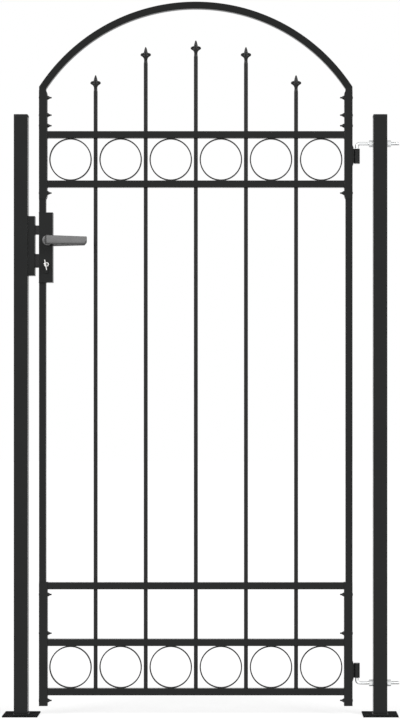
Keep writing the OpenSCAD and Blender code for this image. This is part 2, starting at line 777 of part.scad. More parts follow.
// plan of a lever: neck and grip with a rounded outer corner; y runs outwards
module lever_plan(length) {
  inner_y = case_face_y - case_t;
  grip_y = lever_reach - lever_t;
  translate([-neck_d / 2, inner_y]) square([neck_d, lever_reach - lever_bend_r - inner_y]);
  translate([-neck_d / 2 + lever_bend_r, lever_reach - lever_bend_r]) circle(r = lever_bend_r);
  translate([-neck_d / 2 + lever_bend_r, grip_y])
    square([length + neck_d / 2 - lever_bend_r, lever_t]);
}

module lever(length, foot) {
  grip_y = lever_reach - lever_t;
  translate([lock_x, 0, spindle_z]) {
    intersection() {
      rotate([90, 0, 0]) linear_extrude(2 * lever_reach + over, center = true) lever_side(length, foot);
      translate([0, 0, -lever_root_h]) linear_extrude(2 * lever_root_h) intersection() {
        lever_plan(length);
        translate([-lever_root_h, grip_y]) square([2 * length, lever_t + over]);
      }
    }
    rotate([-90, 0, 0]) translate([0, 0, case_face_y - case_t])
      cylinder(h = grip_y - case_face_y + case_t, d = neck_d - 2 * neck_clear);
  }
}

module rear_lever() color("#a9abac") lever(rear_lever_l, rear_tip_foot);
module front_lever() color("#a9abac") mirror([0, 1, 0]) lever(front_lever_l, front_tip_foot);

module spindle() color("#b9bcbd") {
  length = 2 * (case_face_y - case_t);
  translate([lock_x, 0, spindle_z]) cube([spindle_w, length, spindle_w], center = true);
}

// ---- bolts ----

// a latch bolt with a bevelled nose on its back face
module latch_bolt() color("#8f9294") {
  tip_x = leaf_x0 - latch_throw;
  length = latch_throw + case_w * bolt_reach;
  translate([tip_x, 0, latch_z - latch_h / 2]) linear_extrude(latch_h) polygon([
    [0, -latch_t / 2], [length, -latch_t / 2], [length, latch_t / 2],
    [latch_t * 0.75, latch_t / 2], [0, -latch_t * 0.2],
  ]);
}

// a deadbolt: a full head outside and a tail that passes over the cylinder
module deadbolt() color("#8f9294") {
  tip_x = leaf_x0 - deadbolt_throw;
  z0 = deadbolt_z - deadbolt_h / 2;
  block([tip_x, -deadbolt_t / 2, z0], [deadbolt_throw + case_t / 4, deadbolt_t, deadbolt_h]);
  block([tip_x, -deadbolt_t / 2, z0 + deadbolt_h - tail_h],
        [deadbolt_throw + case_w * bolt_reach, deadbolt_t, tail_h]);
}

latch_post();
hinge_post();
latch_post_base();
hinge_post_base();
latch_post_cap();
hinge_post_cap();
keeper();
upper_hinge_bolt();
lower_hinge_bolt();
upper_hinge_nuts();
lower_hinge_nuts();
latch_stile_upper();
latch_stile_lower();
hinge_stile();
arch();
latch_sleeve_upper();
latch_sleeve_lower();
hinge_sleeve_upper();
hinge_sleeve_lower();
latch_stile_plug();
hinge_stile_plug();
rail_1();
rail_2();
rail_3();
rail_4();
rail_5();
bar_1();
bar_2();
bar_3();
bar_4();
bar_5();
finial_1();
finial_2();
finial_3();
finial_4();
finial_5();
upper_rings();
lower_rings();
upper_hinge_barrel();
lower_hinge_barrel();
lock_case();
lock_cylinder();
rosettes();
front_lever();
rear_lever();
spindle();
latch_bolt();
deadbolt();
lock_core();
key();
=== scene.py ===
"""Dresses the arched garden gate: finishes, fasteners, welds, spears, levers, light and camera."""
import json
import logging
import math
import random
from dataclasses import dataclass, field, replace
from enum import Enum
from typing import Callable, Sequence

import bmesh
import bpy
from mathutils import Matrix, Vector


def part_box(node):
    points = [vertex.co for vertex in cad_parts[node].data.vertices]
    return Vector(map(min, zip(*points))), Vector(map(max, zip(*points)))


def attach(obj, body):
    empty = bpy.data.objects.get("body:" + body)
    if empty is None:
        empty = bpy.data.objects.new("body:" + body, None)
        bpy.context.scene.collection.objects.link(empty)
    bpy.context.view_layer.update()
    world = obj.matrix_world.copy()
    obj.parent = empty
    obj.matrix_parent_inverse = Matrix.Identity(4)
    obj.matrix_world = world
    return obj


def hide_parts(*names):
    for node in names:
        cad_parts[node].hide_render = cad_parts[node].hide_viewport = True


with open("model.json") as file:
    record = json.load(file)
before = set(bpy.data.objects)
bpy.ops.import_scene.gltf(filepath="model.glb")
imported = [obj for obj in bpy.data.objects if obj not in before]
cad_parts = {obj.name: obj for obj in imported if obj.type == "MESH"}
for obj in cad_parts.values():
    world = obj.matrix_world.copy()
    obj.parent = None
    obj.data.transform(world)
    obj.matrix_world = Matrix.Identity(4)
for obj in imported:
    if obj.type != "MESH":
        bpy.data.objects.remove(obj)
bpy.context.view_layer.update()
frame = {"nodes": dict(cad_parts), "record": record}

LOG = logging.getLogger("garden_gate")
MM = 0.001
TURN = 2 * math.pi
QUARTER = math.pi / 2
X, Y, Z = Vector((1, 0, 0)), Vector((0, 1, 0)), Vector((0, 0, 1))
RAILS = tuple(f"rail_{i}" for i in range(1, 6))
BARS = tuple(f"bar_{i}" for i in range(1, 6))
# The hinges, each with the side of its barrel that the bolt's arm is on.
LEVELS = (("upper", 1), ("lower", -1))
Pair = tuple[float, float]
Colour = tuple[float, float, float]
Ring = list[Vector]
Node = bpy.types.Node
Socket = bpy.types.NodeSocket
# What a node's input gets: a value, or the socket that is linked to it.
Feed = float | tuple[float, ...] | Socket
# Radius and height of a turned row in millimetres, which may depend on the angle.
Row = Pair | Callable[[float], Pair]


class Slot(Enum):
    """Finishes as the part's record names them."""

    BLACK_COAT = "black_coat"
    ZINC = "zinc"
    SATIN = "satin_aluminium"
    NICKEL = "nickel"
    STEEL = "bolt_steel"
    PLASTIC = "black_plastic"


class Body(Enum):
    """Bodies that a piece can ride on."""

    POSTS = "posts"
    LEAF = "leaf"
    HANDLE = "handle"
    KEY = "key"


class Side(Enum):
    """The two upright sides of the leaf, with the direction that points into the leaf."""

    LATCH = 1
    HINGE = -1


# ---- node trees


@dataclass
class Graph:
    """A node tree with short ways to add nodes and to feed their inputs."""

    tree: bpy.types.NodeTree

    def add(self, kind: str, given: dict[str | int, Feed] | None = None,
            **settings: object) -> Node:
        """Adds a node.

        Args:
            kind: Blender's type name of the node.
            given: What its inputs get, as feed takes it.
            **settings: Properties to set on the node.

        Returns:
            The new node.
        """
        node = self.tree.nodes.new(kind)
        for name, value in settings.items():
            setattr(node, name, value)
        self.feed(node, given or {})
        return node

    def feed(self, node: Node, given: dict[str | int, Feed]) -> None:
        """Sets or links inputs of a node.

        Args:
            node: The node.
            given: By the input's name or number, its value or the socket to link to it.
        """
        for key, value in given.items():
            if isinstance(value, Socket):
                self.tree.links.new(value, node.inputs[key])
            else:
                node.inputs[key].default_value = value

    def math(self, operation: str, first: Feed, second: Feed, **settings: object) -> Socket:
        """Returns the result of a math node."""
        return self.add("ShaderNodeMath", {0: first, 1: second}, operation=operation,
                        **settings).outputs[0]

    def blend(self, share: Feed, under: Feed, over: Feed, **settings: object) -> Socket:
        """Returns one colour laid over another by a share."""
        return self.add("ShaderNodeMix", {0: share, 6: under, 7: over}, data_type="RGBA",
                        **settings).outputs[2]

    def noise(self, given: Node, detail: float, roughness: float) -> Socket:
        """Adds noise in the piece's own axes, stretched where the group has a Stretch.

        Args:
            given: The group's input node.
            detail: Octaves of the noise.
            roughness: How strong each octave is beside the one before it.

        Returns:
            The noise's value.
        """
        place = self.add("ShaderNodeTexCoord").outputs["Object"]
        if "Stretch" in given.outputs:
            place = self.add("ShaderNodeVectorMath", {0: place, 1: given.outputs["Stretch"]},
                             operation="MULTIPLY").outputs["Vector"]
        return self.add("ShaderNodeTexNoise", {
            "Vector": place, "Scale": given.outputs["Scale"], "Detail": detail,
            "Roughness": roughness}).outputs["Fac"]

    def spread(self, value: Feed, low: Feed, high: Feed) -> Socket:
        """Returns a value that runs from 0 to 1 between two limits."""
        return self.add("ShaderNodeMapRange", {
            "Value": value, "From Min": low, "From Max": high}).outputs["Result"]


@dataclass(frozen=True)
class Effect:
    """A surface effect that several finishes share, as one node group."""

    name: str
    numbers: tuple[str, ...]
    vectors: tuple[str, ...]
    output: str
    wire: Callable[[Graph, Node], Socket]

    def group(self) -> bpy.types.NodeTree:
        """Builds the node group the first time it is asked for.

        Returns:
            The group.
        """
        known = bpy.data.node_groups.get(self.name)
        if known:
            return known
        tree = bpy.data.node_groups.new(self.name, "ShaderNodeTree")
        for kind, names in (("NodeSocketFloat", self.numbers), ("NodeSocketVector", self.vectors)):
            for name in names:
                tree.interface.new_socket(name, in_out="INPUT", socket_type=kind)
        tree.interface.new_socket(self.output, in_out="OUTPUT", socket_type="NodeSocketFloat")
        graph = Graph(tree)
        graph.add("NodeGroupOutput", {0: self.wire(graph, graph.add("NodeGroupInput"))})
        return tree

    def place(self, graph: Graph, **values: Feed) -> Socket:
        """Returns the output of the effect's group, placed in a tree with these input values."""
        return graph.add("ShaderNodeGroup", values, node_tree=self.group()).outputs[0]


def grain(graph: Graph, given: Node) -> Socket:
    """Returns fine relief."""
    return graph.noise(given, detail=3.0, roughness=0.55)


def cloud(graph: Graph, given: Node) -> Socket:
    """Returns slow patches that run from 0 to 1 over the surface."""
    return graph.spread(graph.noise(given, detail=4.0, roughness=0.6), low=0.34, high=0.66)


def scuff(graph: Graph, given: Node) -> Socket:
    """Returns sparse short rubs, which are 0 nearly everywhere."""
    return graph.spread(graph.noise(given, detail=5.0, roughness=0.7),
                        low=given.outputs["Threshold"], high=0.82)


def painted_outline_shade(graph: Graph, given: Node) -> Socket:
    """Returns the mask of painted shade, which grows as the surface turns away from the eye.

    Args:
        graph: The group's tree.
        given: The group's input node.

    Returns:
        0 where the surface faces the eye, up to 1 at the outline.
    """
    facing = graph.math("SUBTRACT", 1.0, graph.add("ShaderNodeLayerWeight").outputs["Facing"])
    return graph.math("SUBTRACT", 1.0, graph.math("POWER", facing, given.outputs["Power"]))


GRAIN = Effect("surface_grain", ("Scale",), ("Stretch",), "Height", grain)
CLOUD = Effect("slow_cloud", ("Scale",), (), "Mask", cloud)
SCUFF = Effect("light_scuffs", ("Scale", "Threshold"), ("Stretch",), "Mask", scuff)
# Painted shade: this group darkens a finish's colour towards the outline, where the surface turns
# away from the eye.
PAINTED_OUTLINE_SHADE = Effect("painted_outline_shade", ("Power",), (), "Mask", painted_outline_shade)


# ---- finishes


def grey(level: float) -> tuple[float, ...]:
    """Returns an opaque grey."""
    return (level, level, level, 1.0)


@dataclass(frozen=True)
class Finish:
    """One finish: two close tones, a range of roughness, a fine relief, and painted shade towards
    the outline where edge_shade is below 1.

    Tones are linear colours. Scales count features to the metre, and grain_depth is in millimetres.
    """

    name: str
    slot: Slot
    tone: Colour
    other_tone: Colour
    rough: Pair
    grain_scale: float
    grain_depth: float
    cloud_scale: float
    scuff_scale: float
    scuff_start: float
    scuff_tone: Colour
    metallic: float = 0.0
    specular: float = 0.5
    edge_tint: float = 1.0
    # Painted shade at the outline: the share of the tone left there, and the power that shapes its
    # fall-off.
    edge_shade: float = 1.0
    edge_power: float = 3.0
    grain_stretch: Colour = (1.0, 1.0, 1.0)
    scuff_stretch: Colour = (1.0, 1.0, 1.0)

    def material(self) -> bpy.types.Material:
        """Builds the finish's material the first time it is asked for.

        Returns:
            The material.
        """
        known = bpy.data.materials.get(self.name)
        if known:
            return known
        material = bpy.data.materials.new(self.name)
        material.use_nodes = True
        graph = Graph(material.node_tree)
        patches = CLOUD.place(graph, Scale=self.cloud_scale)
        rubs = SCUFF.place(graph, Scale=self.scuff_scale, Threshold=self.scuff_start,
                           Stretch=self.scuff_stretch)
        relief = GRAIN.place(graph, Scale=self.grain_scale, Stretch=self.grain_stretch)
        # Painted shade: edges masks where edge_shade darkens the base colour towards the outline.
        edges = PAINTED_OUTLINE_SHADE.place(graph, Power=self.edge_power)
        tones = graph.blend(patches, (*self.tone, 1.0), (*self.other_tone, 1.0))
        rubbed = graph.blend(rubs, tones, (*self.scuff_tone, 1.0))
        rough = graph.add("ShaderNodeMapRange", {
            "Value": graph.math("ADD", patches, rubs, use_clamp=True),
            "To Min": self.rough[0], "To Max": self.rough[1]})
        bump = graph.add("ShaderNodeBump", {
            "Strength": 1.0, "Distance": self.grain_depth * MM, "Height": relief})
        graph.feed(graph.tree.nodes["Principled BSDF"], {
            "Metallic": self.metallic, "Specular IOR Level": self.specular,
            "Specular Tint": grey(self.edge_tint), "Roughness": rough.outputs["Result"],
            "Base Color": graph.blend(edges, rubbed, grey(self.edge_shade), blend_type="MULTIPLY"),
            "Normal": bump.outputs["Normal"]})
        return material


POWDER_COAT = Finish(
    "powder_coat_black", Slot.BLACK_COAT, (0.0106, 0.0113, 0.0111), (0.0120, 0.0127, 0.0125),
    rough=(0.22, 0.28), specular=0.20, grain_scale=620.0, grain_depth=0.04, cloud_scale=9.0,
    scuff_scale=35.0, scuff_start=0.74, scuff_tone=(0.016, 0.017, 0.017))
# A darker copy of the coat, whose darker tone paints shade on the arch.
ARCH_PAINTED_SHADE_COAT = replace(POWDER_COAT, name="powder_coat_arch_painted_shade", tone=(0.0072, 0.0078, 0.0076),
                    other_tone=(0.0084, 0.0090, 0.0088))
# A lighter copy of the coat for the round bars and the rings, whose lighter tone paints light on
# them.
BAR_PAINTED_LIGHT_COAT = replace(POWDER_COAT, name="powder_coat_bars", tone=(0.0146, 0.0149, 0.0149),
                   other_tone=(0.0166, 0.0168, 0.0168), rough=(0.24, 0.30))
FOOT_COAT = replace(POWDER_COAT, name="powder_coat_feet", tone=(0.0118, 0.0122, 0.0120),
                    other_tone=(0.0148, 0.0152, 0.0149), rough=(0.66, 0.80), specular=0.006)
WELDED_COAT = Finish(
    "powder_coat_over_weld", Slot.BLACK_COAT, (0.0072, 0.0076, 0.0075), (0.0092, 0.0096, 0.0094),
    rough=(0.24, 0.32), specular=0.20, grain_scale=900.0, grain_depth=0.05, cloud_scale=30.0,
    scuff_scale=90.0, scuff_start=0.74, scuff_tone=(0.015, 0.015, 0.015))
# Its edge_shade and edge_power paint grey shade along the outlines of the hooks, nuts and washers.
ZINC_PLATE = Finish(
    "bright_zinc_plate", Slot.ZINC, (0.86, 0.875, 0.89), (0.80, 0.81, 0.80),
    rough=(0.30, 0.40), metallic=1.0, edge_tint=0.8, edge_shade=0.68, edge_power=1.9,
    grain_scale=1400.0, grain_depth=0.012, cloud_scale=55.0, scuff_scale=160.0, scuff_start=0.64,
    scuff_tone=(0.66, 0.66, 0.64))
# Its edge_shade and edge_power paint shade where the levers and rosettes turn away from the eye:
# the neck's side, the bend and the bevel under the grip.
SATIN_ALUMINIUM = Finish(
    "satin_anodised", Slot.SATIN, (0.184, 0.184, 0.184), (0.208, 0.208, 0.208),
    rough=(0.44, 0.54), metallic=0.35, specular=0.3, edge_tint=0.8, edge_shade=0.40,
    edge_power=3.8, grain_scale=260.0,
    grain_stretch=(0.16, 3.0, 3.0), grain_depth=0.02, cloud_scale=28.0, scuff_scale=70.0,
    scuff_stretch=(0.5, 1.0, 2.5), scuff_start=0.68, scuff_tone=(0.21, 0.21, 0.21))
NICKEL_PLATE = Finish(
    "nickel_plate", Slot.NICKEL, (0.96, 0.955, 0.94), (0.90, 0.89, 0.87),
    rough=(0.12, 0.24), metallic=1.0, edge_tint=0.7, grain_scale=1800.0,
    grain_stretch=(1.0, 0.3, 1.0), grain_depth=0.006, cloud_scale=90.0, scuff_scale=240.0,
    scuff_start=0.62, scuff_tone=(0.62, 0.61, 0.58))
BOLT_STEEL = Finish(
    "blackened_steel", Slot.STEEL, (0.040, 0.040, 0.042), (0.060, 0.059, 0.058),
    rough=(0.30, 0.42), metallic=0.5, specular=0.3, edge_tint=0.6, grain_scale=500.0,
    grain_stretch=(0.2, 2.0, 2.0), grain_depth=0.02, cloud_scale=60.0, scuff_scale=120.0,
    scuff_stretch=(0.3, 1.0, 1.0), scuff_start=0.62, scuff_tone=(0.14, 0.14, 0.14))
MOULDED_PLASTIC = Finish(
    "moulded_black_plastic", Slot.PLASTIC, (0.0095, 0.0100, 0.0100), (0.0115, 0.0120, 0.0120),
    rough=(0.50, 0.60), specular=0.18, grain_scale=1500.0, grain_depth=0.06, cloud_scale=20.0,
    scuff_scale=80.0, scuff_start=0.70, scuff_tone=(0.02, 0.02, 0.02))


# ---- meshes


def linked(name: str, data: bpy.types.ID) -> bpy.types.Object:
    """Makes an object and links it to the scene.

    Args:
        name: Its name.
        data: Its mesh, lamp or lens.

    Returns:
        The new object.
    """
    thing = bpy.data.objects.new(name, data)
    bpy.context.scene.collection.objects.link(thing)
    return thing


def shares(count: int, first: int = 0) -> list[float]:
    """Returns evenly spaced numbers up to 1, from a step of the count onwards."""
    return [i / count for i in range(first, count + 1)]


def turns(count: int, whole: float = TURN) -> list[float]:
    """Returns evenly spaced angles from 0 up to a whole, which is left out."""
    return [whole * i / count for i in range(count)]


@dataclass
class Shell:
    """Points and faces of one piece, gathered before they become a mesh."""

    points: list[Vector] = field(default_factory=list)
    faces: list[tuple[int, ...]] = field(default_factory=list)

    def skin(self, rings: Sequence[Ring], looped: bool = False) -> None:
        """Joins closed rings of equal length with quads.

        Args:
            rings: The rings, one after the other.
            looped: Joins the last ring back to the first, in place of closing both ends.
        """
        count, first = len(rings[0]), len(self.points)
        for ring in rings:
            self.points.extend(ring)
        for i in range(len(rings) if looped else len(rings) - 1):
            low = first + i * count
            high = first + ((i + 1) % len(rings)) * count
            for k in range(count):
                n = (k + 1) % count
                self.faces.append((low + k, low + n, high + n, high + k))
        if not looped:
            last = len(self.points) - count
            self.faces.append(tuple(reversed(range(first, first + count))))
            self.faces.append(tuple(range(last, last + count)))

    def turned(self, rows: Sequence[Row], axis: Vector, foot: Vector, steps: int = 40,
               looped: bool = True) -> None:
        """Turns a profile about an axis.

        Args:
            rows: The profile's rows, each once round the axis.
            axis: Where heights run to.
            foot: Where the axis has height 0, in metres.
            steps: Points round a row.
            looped: Joins the last row to the first, which leaves a hole through the middle.
        """
        tilt = axis.to_track_quat("Z", "Y").to_matrix()
        rings = []
        for row in rows:
            ring = []
            for angle in turns(steps):
                radius, height = row(angle) if callable(row) else row
                reach = radius * MM
                ring.append(foot + tilt @ Vector((reach * math.cos(angle), reach * math.sin(angle),
                                                  height * MM)))
            rings.append(ring)
        self.skin(rings, looped=looped)

    def swept(self, path: Sequence[Vector], normal: Vector, radius: Callable[[int, float], float],
              steps: int, looped: bool = False) -> None:
        """Sweeps a round section along a flat path.

        Args:
            path: Points of the path, in metres.
            normal: Normal of the plane that the path lies in.
            radius: Radius in metres at a path index and an angle round the section.
            steps: Points round the section.
            looped: Whether the path closes on itself.
        """
        rings = []
        last = len(path) - 1
        for i, point in enumerate(path):
            ahead = path[(i + 1) % len(path)] if looped else path[min(i + 1, last)]
            behind = path[i - 1] if looped else path[max(i - 1, 0)]
            across = (ahead - behind).normalized().cross(normal)
            rings.append([point + (normal * math.cos(a) + across * math.sin(a)) * radius(i, a)
                          for a in turns(steps)])
        self.skin(rings, looped=looped)

    def piece(self, name: str, finish: Finish, body: Body, sharp: float = 35.0) -> bpy.types.Object:
        """Makes the Blender object, smooth but for its sharp edges, and rides it on a body.

        Args:
            name: Name of the piece.
            finish: Its finish.
            body: The body it moves with.
            sharp: Edges that turn more than this many degrees stay sharp.

        Returns:
            The new object.
        """
        mesh = bpy.data.meshes.new(name)
        mesh.from_pydata([tuple(p) for p in self.points], [], self.faces)
        work = bmesh.new()
        work.from_mesh(mesh)
        bmesh.ops.recalc_face_normals(work, faces=work.faces)
        work.to_mesh(mesh)
        work.free()
        mesh.shade_smooth()
        mesh.set_sharp_from_angle(angle=math.radians(sharp))
        mesh.materials.append(finish.material())
        piece = linked(name, mesh)
        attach(piece, body.value)
        LOG.info("%s: %d faces on %s", name, len(mesh.polygons), body.value)
        return piece


def middle(node: str) -> Vector:
    """Returns the middle of a solid's box."""
    low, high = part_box(node)
    return (low + high) / 2


def line(start: Vector, end: Vector, pitch: float = 0.6) -> Ring:
    """Returns evenly spaced points from start to end, pitch millimetres apart at most."""
    count = max(2, math.ceil((end - start).length / (pitch * MM)))
    return [start.lerp(end, i / count) for i in range(count + 1)]


def circle(radius: float, pitch: float = 0.6) -> list[Pair]:
    """Returns points round a circle, all in millimetres and the pitch apart at most."""
    count = max(12, math.ceil(TURN * radius / pitch))
    return [(math.cos(a) * radius, math.sin(a) * radius) for a in turns(count)]


def quartered(points: Sequence[Pair]) -> list[Pair]:
    """Returns one quarter of an outline repeated at each quarter turn about its middle."""
    around = [(math.cos(a), math.sin(a)) for a in turns(4)]
    return [(x * c - y * s, x * s + y * c) for c, s in around for x, y in points]


def round_square(half: float, corner: float, pitch: float = 0.6) -> list[Pair]:
    """Returns points round a square with round corners, all in millimetres.

    Args:
        half: Half its side.
        corner: Radius of its corners.
        pitch: Spacing that its points come near.

    Returns:
        The points, without the first one repeated.
    """
    flat = half - corner
    steps = max(1, round(2 * flat / pitch))
    bends = max(3, round(corner * QUARTER / pitch))
    quarter = [(half, flat * (2 * i / steps - 1)) for i in range(steps)]
    return quartered(quarter + [(flat + math.cos(a) * corner, flat + math.sin(a) * corner)
                                for a in turns(bends, QUARTER)])


def laid(outline: Sequence[Pair], centre: Vector, u: Vector = X, v: Vector = Y) -> Ring:
    """Returns an outline in millimetres laid about a centre, along two axes of the frame."""
    return [centre + (u * x + v * y) * MM for x, y in outline]


# ---- welds


@dataclass
class Welds:
    """Beads of weld with their ripples, painted over with the coat."""

    chance: random.Random
    ripple: float = 1.5
    ripple_depth: float = 0.10
    unevenness: float = 0.07
    blunt_end: float = 0.02
    steps: int = 8
    sharp: float = 60.0
    shell: Shell = field(default_factory=Shell)

    def bead(self, path: Sequence[Vector], normal: Vector, size: float,
             looped: bool = False) -> None:
        """Lays one bead.

        Args:
            path: Its middle line, in metres.
            normal: Normal of the plane that the line lies in.
            size: Radius of the bead, in millimetres.
            looped: Whether the line closes on itself.
        """
        last = len(path) - 1
        spans = last + 1 if looped else last
        spacing = (path[1] - path[0]).length
        waves = max(1, round(spacing * spans / (self.ripple * MM)))
        knots = [self.chance.uniform(-1, 1) for _ in range(waves)]

        def radius(i: int, _angle: float) -> float:
            """Works out the bead's radius.

            Args:
                i: Index of the path's point.
                _angle: Angle round the section, which changes nothing here.

            Returns:
                The radius, in metres.
            """
            wave = i / spans * waves
            k = int(wave)
            uneven = knots[k % waves] + (knots[(k + 1) % waves] - knots[k % waves]) * (wave - k)
            swell = 1 + self.ripple_depth * math.sin(TURN * wave) + self.unevenness * uneven
            inside = min(i, last - i) * spacing / (size * MM)
            ends = 1.0 if looped else min(1.0, math.sqrt(max(self.blunt_end, inside)))
            return size * MM * swell * ends

        self.shell.swept(path, normal, radius, self.steps, looped)

    def collar(self, outline: Sequence[Pair], centre: Vector, size: float, u: Vector = X,
               v: Vector = Y) -> None:
        """Lays a bead along a closed outline, as laid places it."""
        self.bead(laid(outline, centre, u, v), u.cross(v), size, looped=True)

    def seam(self, start: Vector, end: Vector, normal: Vector, size: float) -> None:
        """Lays a straight bead."""
        self.bead(line(start, end), normal, size)

    def piece(self, name: str, body: Body) -> None:
        """Makes one piece of the beads laid since the last one."""
        self.shell.piece(name, WELDED_COAT, body, self.sharp)
        self.shell = Shell()


# ---- sub-assemblies


@dataclass
class LeafFrame:
    """The rolled tube of the arch, the bent rings, the foot sleeves and the leaf's welds."""

    tube: float = 20.0
    tube_corner: float = 2.0
    bends: tuple[float, ...] = tuple(QUARTER * share for share in shares(6))
    flat_edge: float = 0.4
    arch_steps: int = 144
    ring_strip: Pair = (3.4, 10.0)
    ring_edge: float = 0.5
    ring_flat: float = 0.2
    ring_steps: int = 120
    sleeve_sheet: float = 2.0
    sleeve_bend: float = 3.0
    sleeve_coat: float = 0.7
    rail_bead: float = 1.3
    bar_bead: float = 0.6
    bar_bead_path: float = 5.65
    ring_bead: float = 0.8
    ring_bead_half: float = 9.0
    bands: tuple[str, ...] = ("upper_rings", "lower_rings")
    welds: Welds = field(default_factory=lambda: Welds(random.Random(7)))

    def build(self) -> None:
        """Builds the arch, the rings, the foot sleeves and the welds of the leaf."""
        self.arch()
        for name in self.bands:
            self.rings(name)
        for side in Side:
            self.foot_sleeve(side)
        self.rail_welds()
        self.bar_welds()
        self.ring_welds()

    def arch(self) -> None:
        """Bends the tube over the leaf and cuts it to the mitres of the stiles."""
        low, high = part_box("arch")
        tube = self.tube * MM
        centre_x, half, drop = (low.x + high.x) / 2, (high.x - low.x) / 2, high.z - low.z
        inner = half - tube
        radius = (drop * drop + inner * inner - tube * tube) / (2 * (drop - tube))
        centre_z = high.z - radius
        corner = centre_z + math.sqrt(radius * radius - half * half)
        cut = Vector((corner - low.z, -tube)).normalized()
        reach = cut.x * inner + cut.y * (low.z - centre_z)
        tilt = math.atan2(cut.y, cut.x)
        side = self.tube / 2
        flat = side - self.tube_corner
        quarter = [(side, self.flat_edge - flat), (side, flat - self.flat_edge)]
        quarter += [(flat + self.tube_corner * math.cos(a), flat + self.tube_corner * math.sin(a))
                    for a in self.bends]
        section = [(radius + (u - side) * MM, v * MM) for u, v in quartered(quarter)]
        ends = [math.asin(min(1.0, reach / r)) - tilt for r, _ in section]
        shell = Shell()
        shell.skin([[Vector((centre_x + r * math.sin(end * share), y,
                             centre_z + r * math.cos(end * share)))
                     for (r, y), end in zip(section, ends)]
                    for share in (2 * at - 1 for at in shares(self.arch_steps))])
        # The arch wears the darker copy of the coat, with its painted shade.
        piece = shell.piece("arch_tube", ARCH_PAINTED_SHADE_COAT, Body.LEAF)
        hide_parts("arch")

    @staticmethod
    def ring_places() -> list[float]:
        """Places a ring in each bay between and beside the bars.

        Returns:
            Where the rings' middles stand along X, in metres.
        """
        first, last = middle(BARS[0]).x, middle(BARS[-1]).x
        pitch = (last - first) / (len(BARS) - 1)
        return [first + (i - 0.5) * pitch for i in range(len(BARS) + 1)]

    def rings(self, name: str) -> None:
        """Bends strip with broken edges into a band's rings, ground flat where they meet the rails.

        Args:
            name: The node with the band's rings.
        """
        low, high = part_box(name)
        centre = (low.z + high.z) / 2
        strip, depth = self.ring_strip
        radius = (high.z - low.z) / 2 + (self.ring_flat - strip / 2) * MM
        section = round_square(strip / 2, self.ring_edge, pitch=strip)
        spread = (depth - strip) / 2 * MM
        shell = Shell()
        for x in self.ring_places():
            loops = []
            for a in turns(self.ring_steps):
                loops.append([Vector((x + (radius + u * MM) * math.cos(a),
                                      v * MM + math.copysign(spread, v),
                                      min(max(centre + (radius + u * MM) * math.sin(a), low.z),
                                          high.z))) for u, v in section])
            shell.skin(loops, looped=True)
        # The rings wear the bars' lighter copy of the coat, with its painted light.
        piece = shell.piece(name.replace("_", "_bent_"), BAR_PAINTED_LIGHT_COAT, Body.LEAF)
        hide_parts(name)

    def foot_sleeve(self, side: Side) -> None:
        """Bends a lower sleeve from sheet, open outwards, down to the foot of the stile's plug.

        Args:
            side: The stile that stands in it.
        """
        stile = side.name.lower()
        low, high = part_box(f"{stile}_sleeve_lower")
        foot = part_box(f"{stile}_stile_plug")[0].z
        mouth = low.x if side is Side.LATCH else high.x
        sheet, bend = self.sleeve_sheet * MM, self.sleeve_bend * MM
        web, half = high.x - low.x + self.sleeve_coat * MM, (high.y - low.y) / 2
        arcs = []
        for end, edge, corner in ((web, half, bend), (web - sheet, half - sheet, bend - sheet)):
            arc = [(end - corner * (1 - math.sin(a)), corner * (1 - math.cos(a)) - edge)
                   for a in self.bends]
            arcs.append(arc + [(x, -y) for x, y in reversed(arc)])
        outline = [(0.0, -half), *arcs[0], (0.0, half), (0.0, half - sheet), *reversed(arcs[1]),
                   (0.0, sheet - half)]
        shell = Shell()
        shell.skin([[Vector((mouth + side.value * x, y, z)) for x, y in outline]
                    for z in (foot, high.z)])
        piece = shell.piece(f"{stile}_foot_sleeve", POWDER_COAT, Body.LEAF)
        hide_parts(f"{stile}_sleeve_lower")

    def rail_welds(self) -> None:
        """Runs a bead round both ends of each rail."""
        outline = round_square(self.tube / 2, self.tube_corner)
        for name in RAILS:
            centre = middle(name)
            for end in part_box(name):
                at = Vector((end.x, centre.y, centre.z))
                self.welds.collar(outline, at, self.rail_bead, Y, Z)
        self.welds.piece("rail_welds", Body.LEAF)

    def bar_welds(self) -> None:
        """Runs a thin bead round each bar where it goes through a rail."""
        faces = [corner.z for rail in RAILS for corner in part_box(rail)]
        for bar in BARS:
            for z in faces:
                if z > min(faces):
                    self.welds.collar(circle(self.bar_bead_path), Vector((middle(bar).x, 0, z)),
                                      self.bar_bead)
        self.welds.piece("bar_welds", Body.LEAF)

    def ring_welds(self) -> None:
        """Lays short beads on both sides of each ring at the rails above and below."""
        half = self.ring_bead_half * MM
        for name in self.bands:
            low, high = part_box(name)
            for x in self.ring_places():
                for z in (low.z, high.z):
                    for y in (low.y, high.y):
                        self.welds.seam(Vector((x - half, y, z)), Vector((x + half, y, z)), Z,
                                        self.ring_bead)
        self.welds.piece("ring_welds", Body.LEAF)


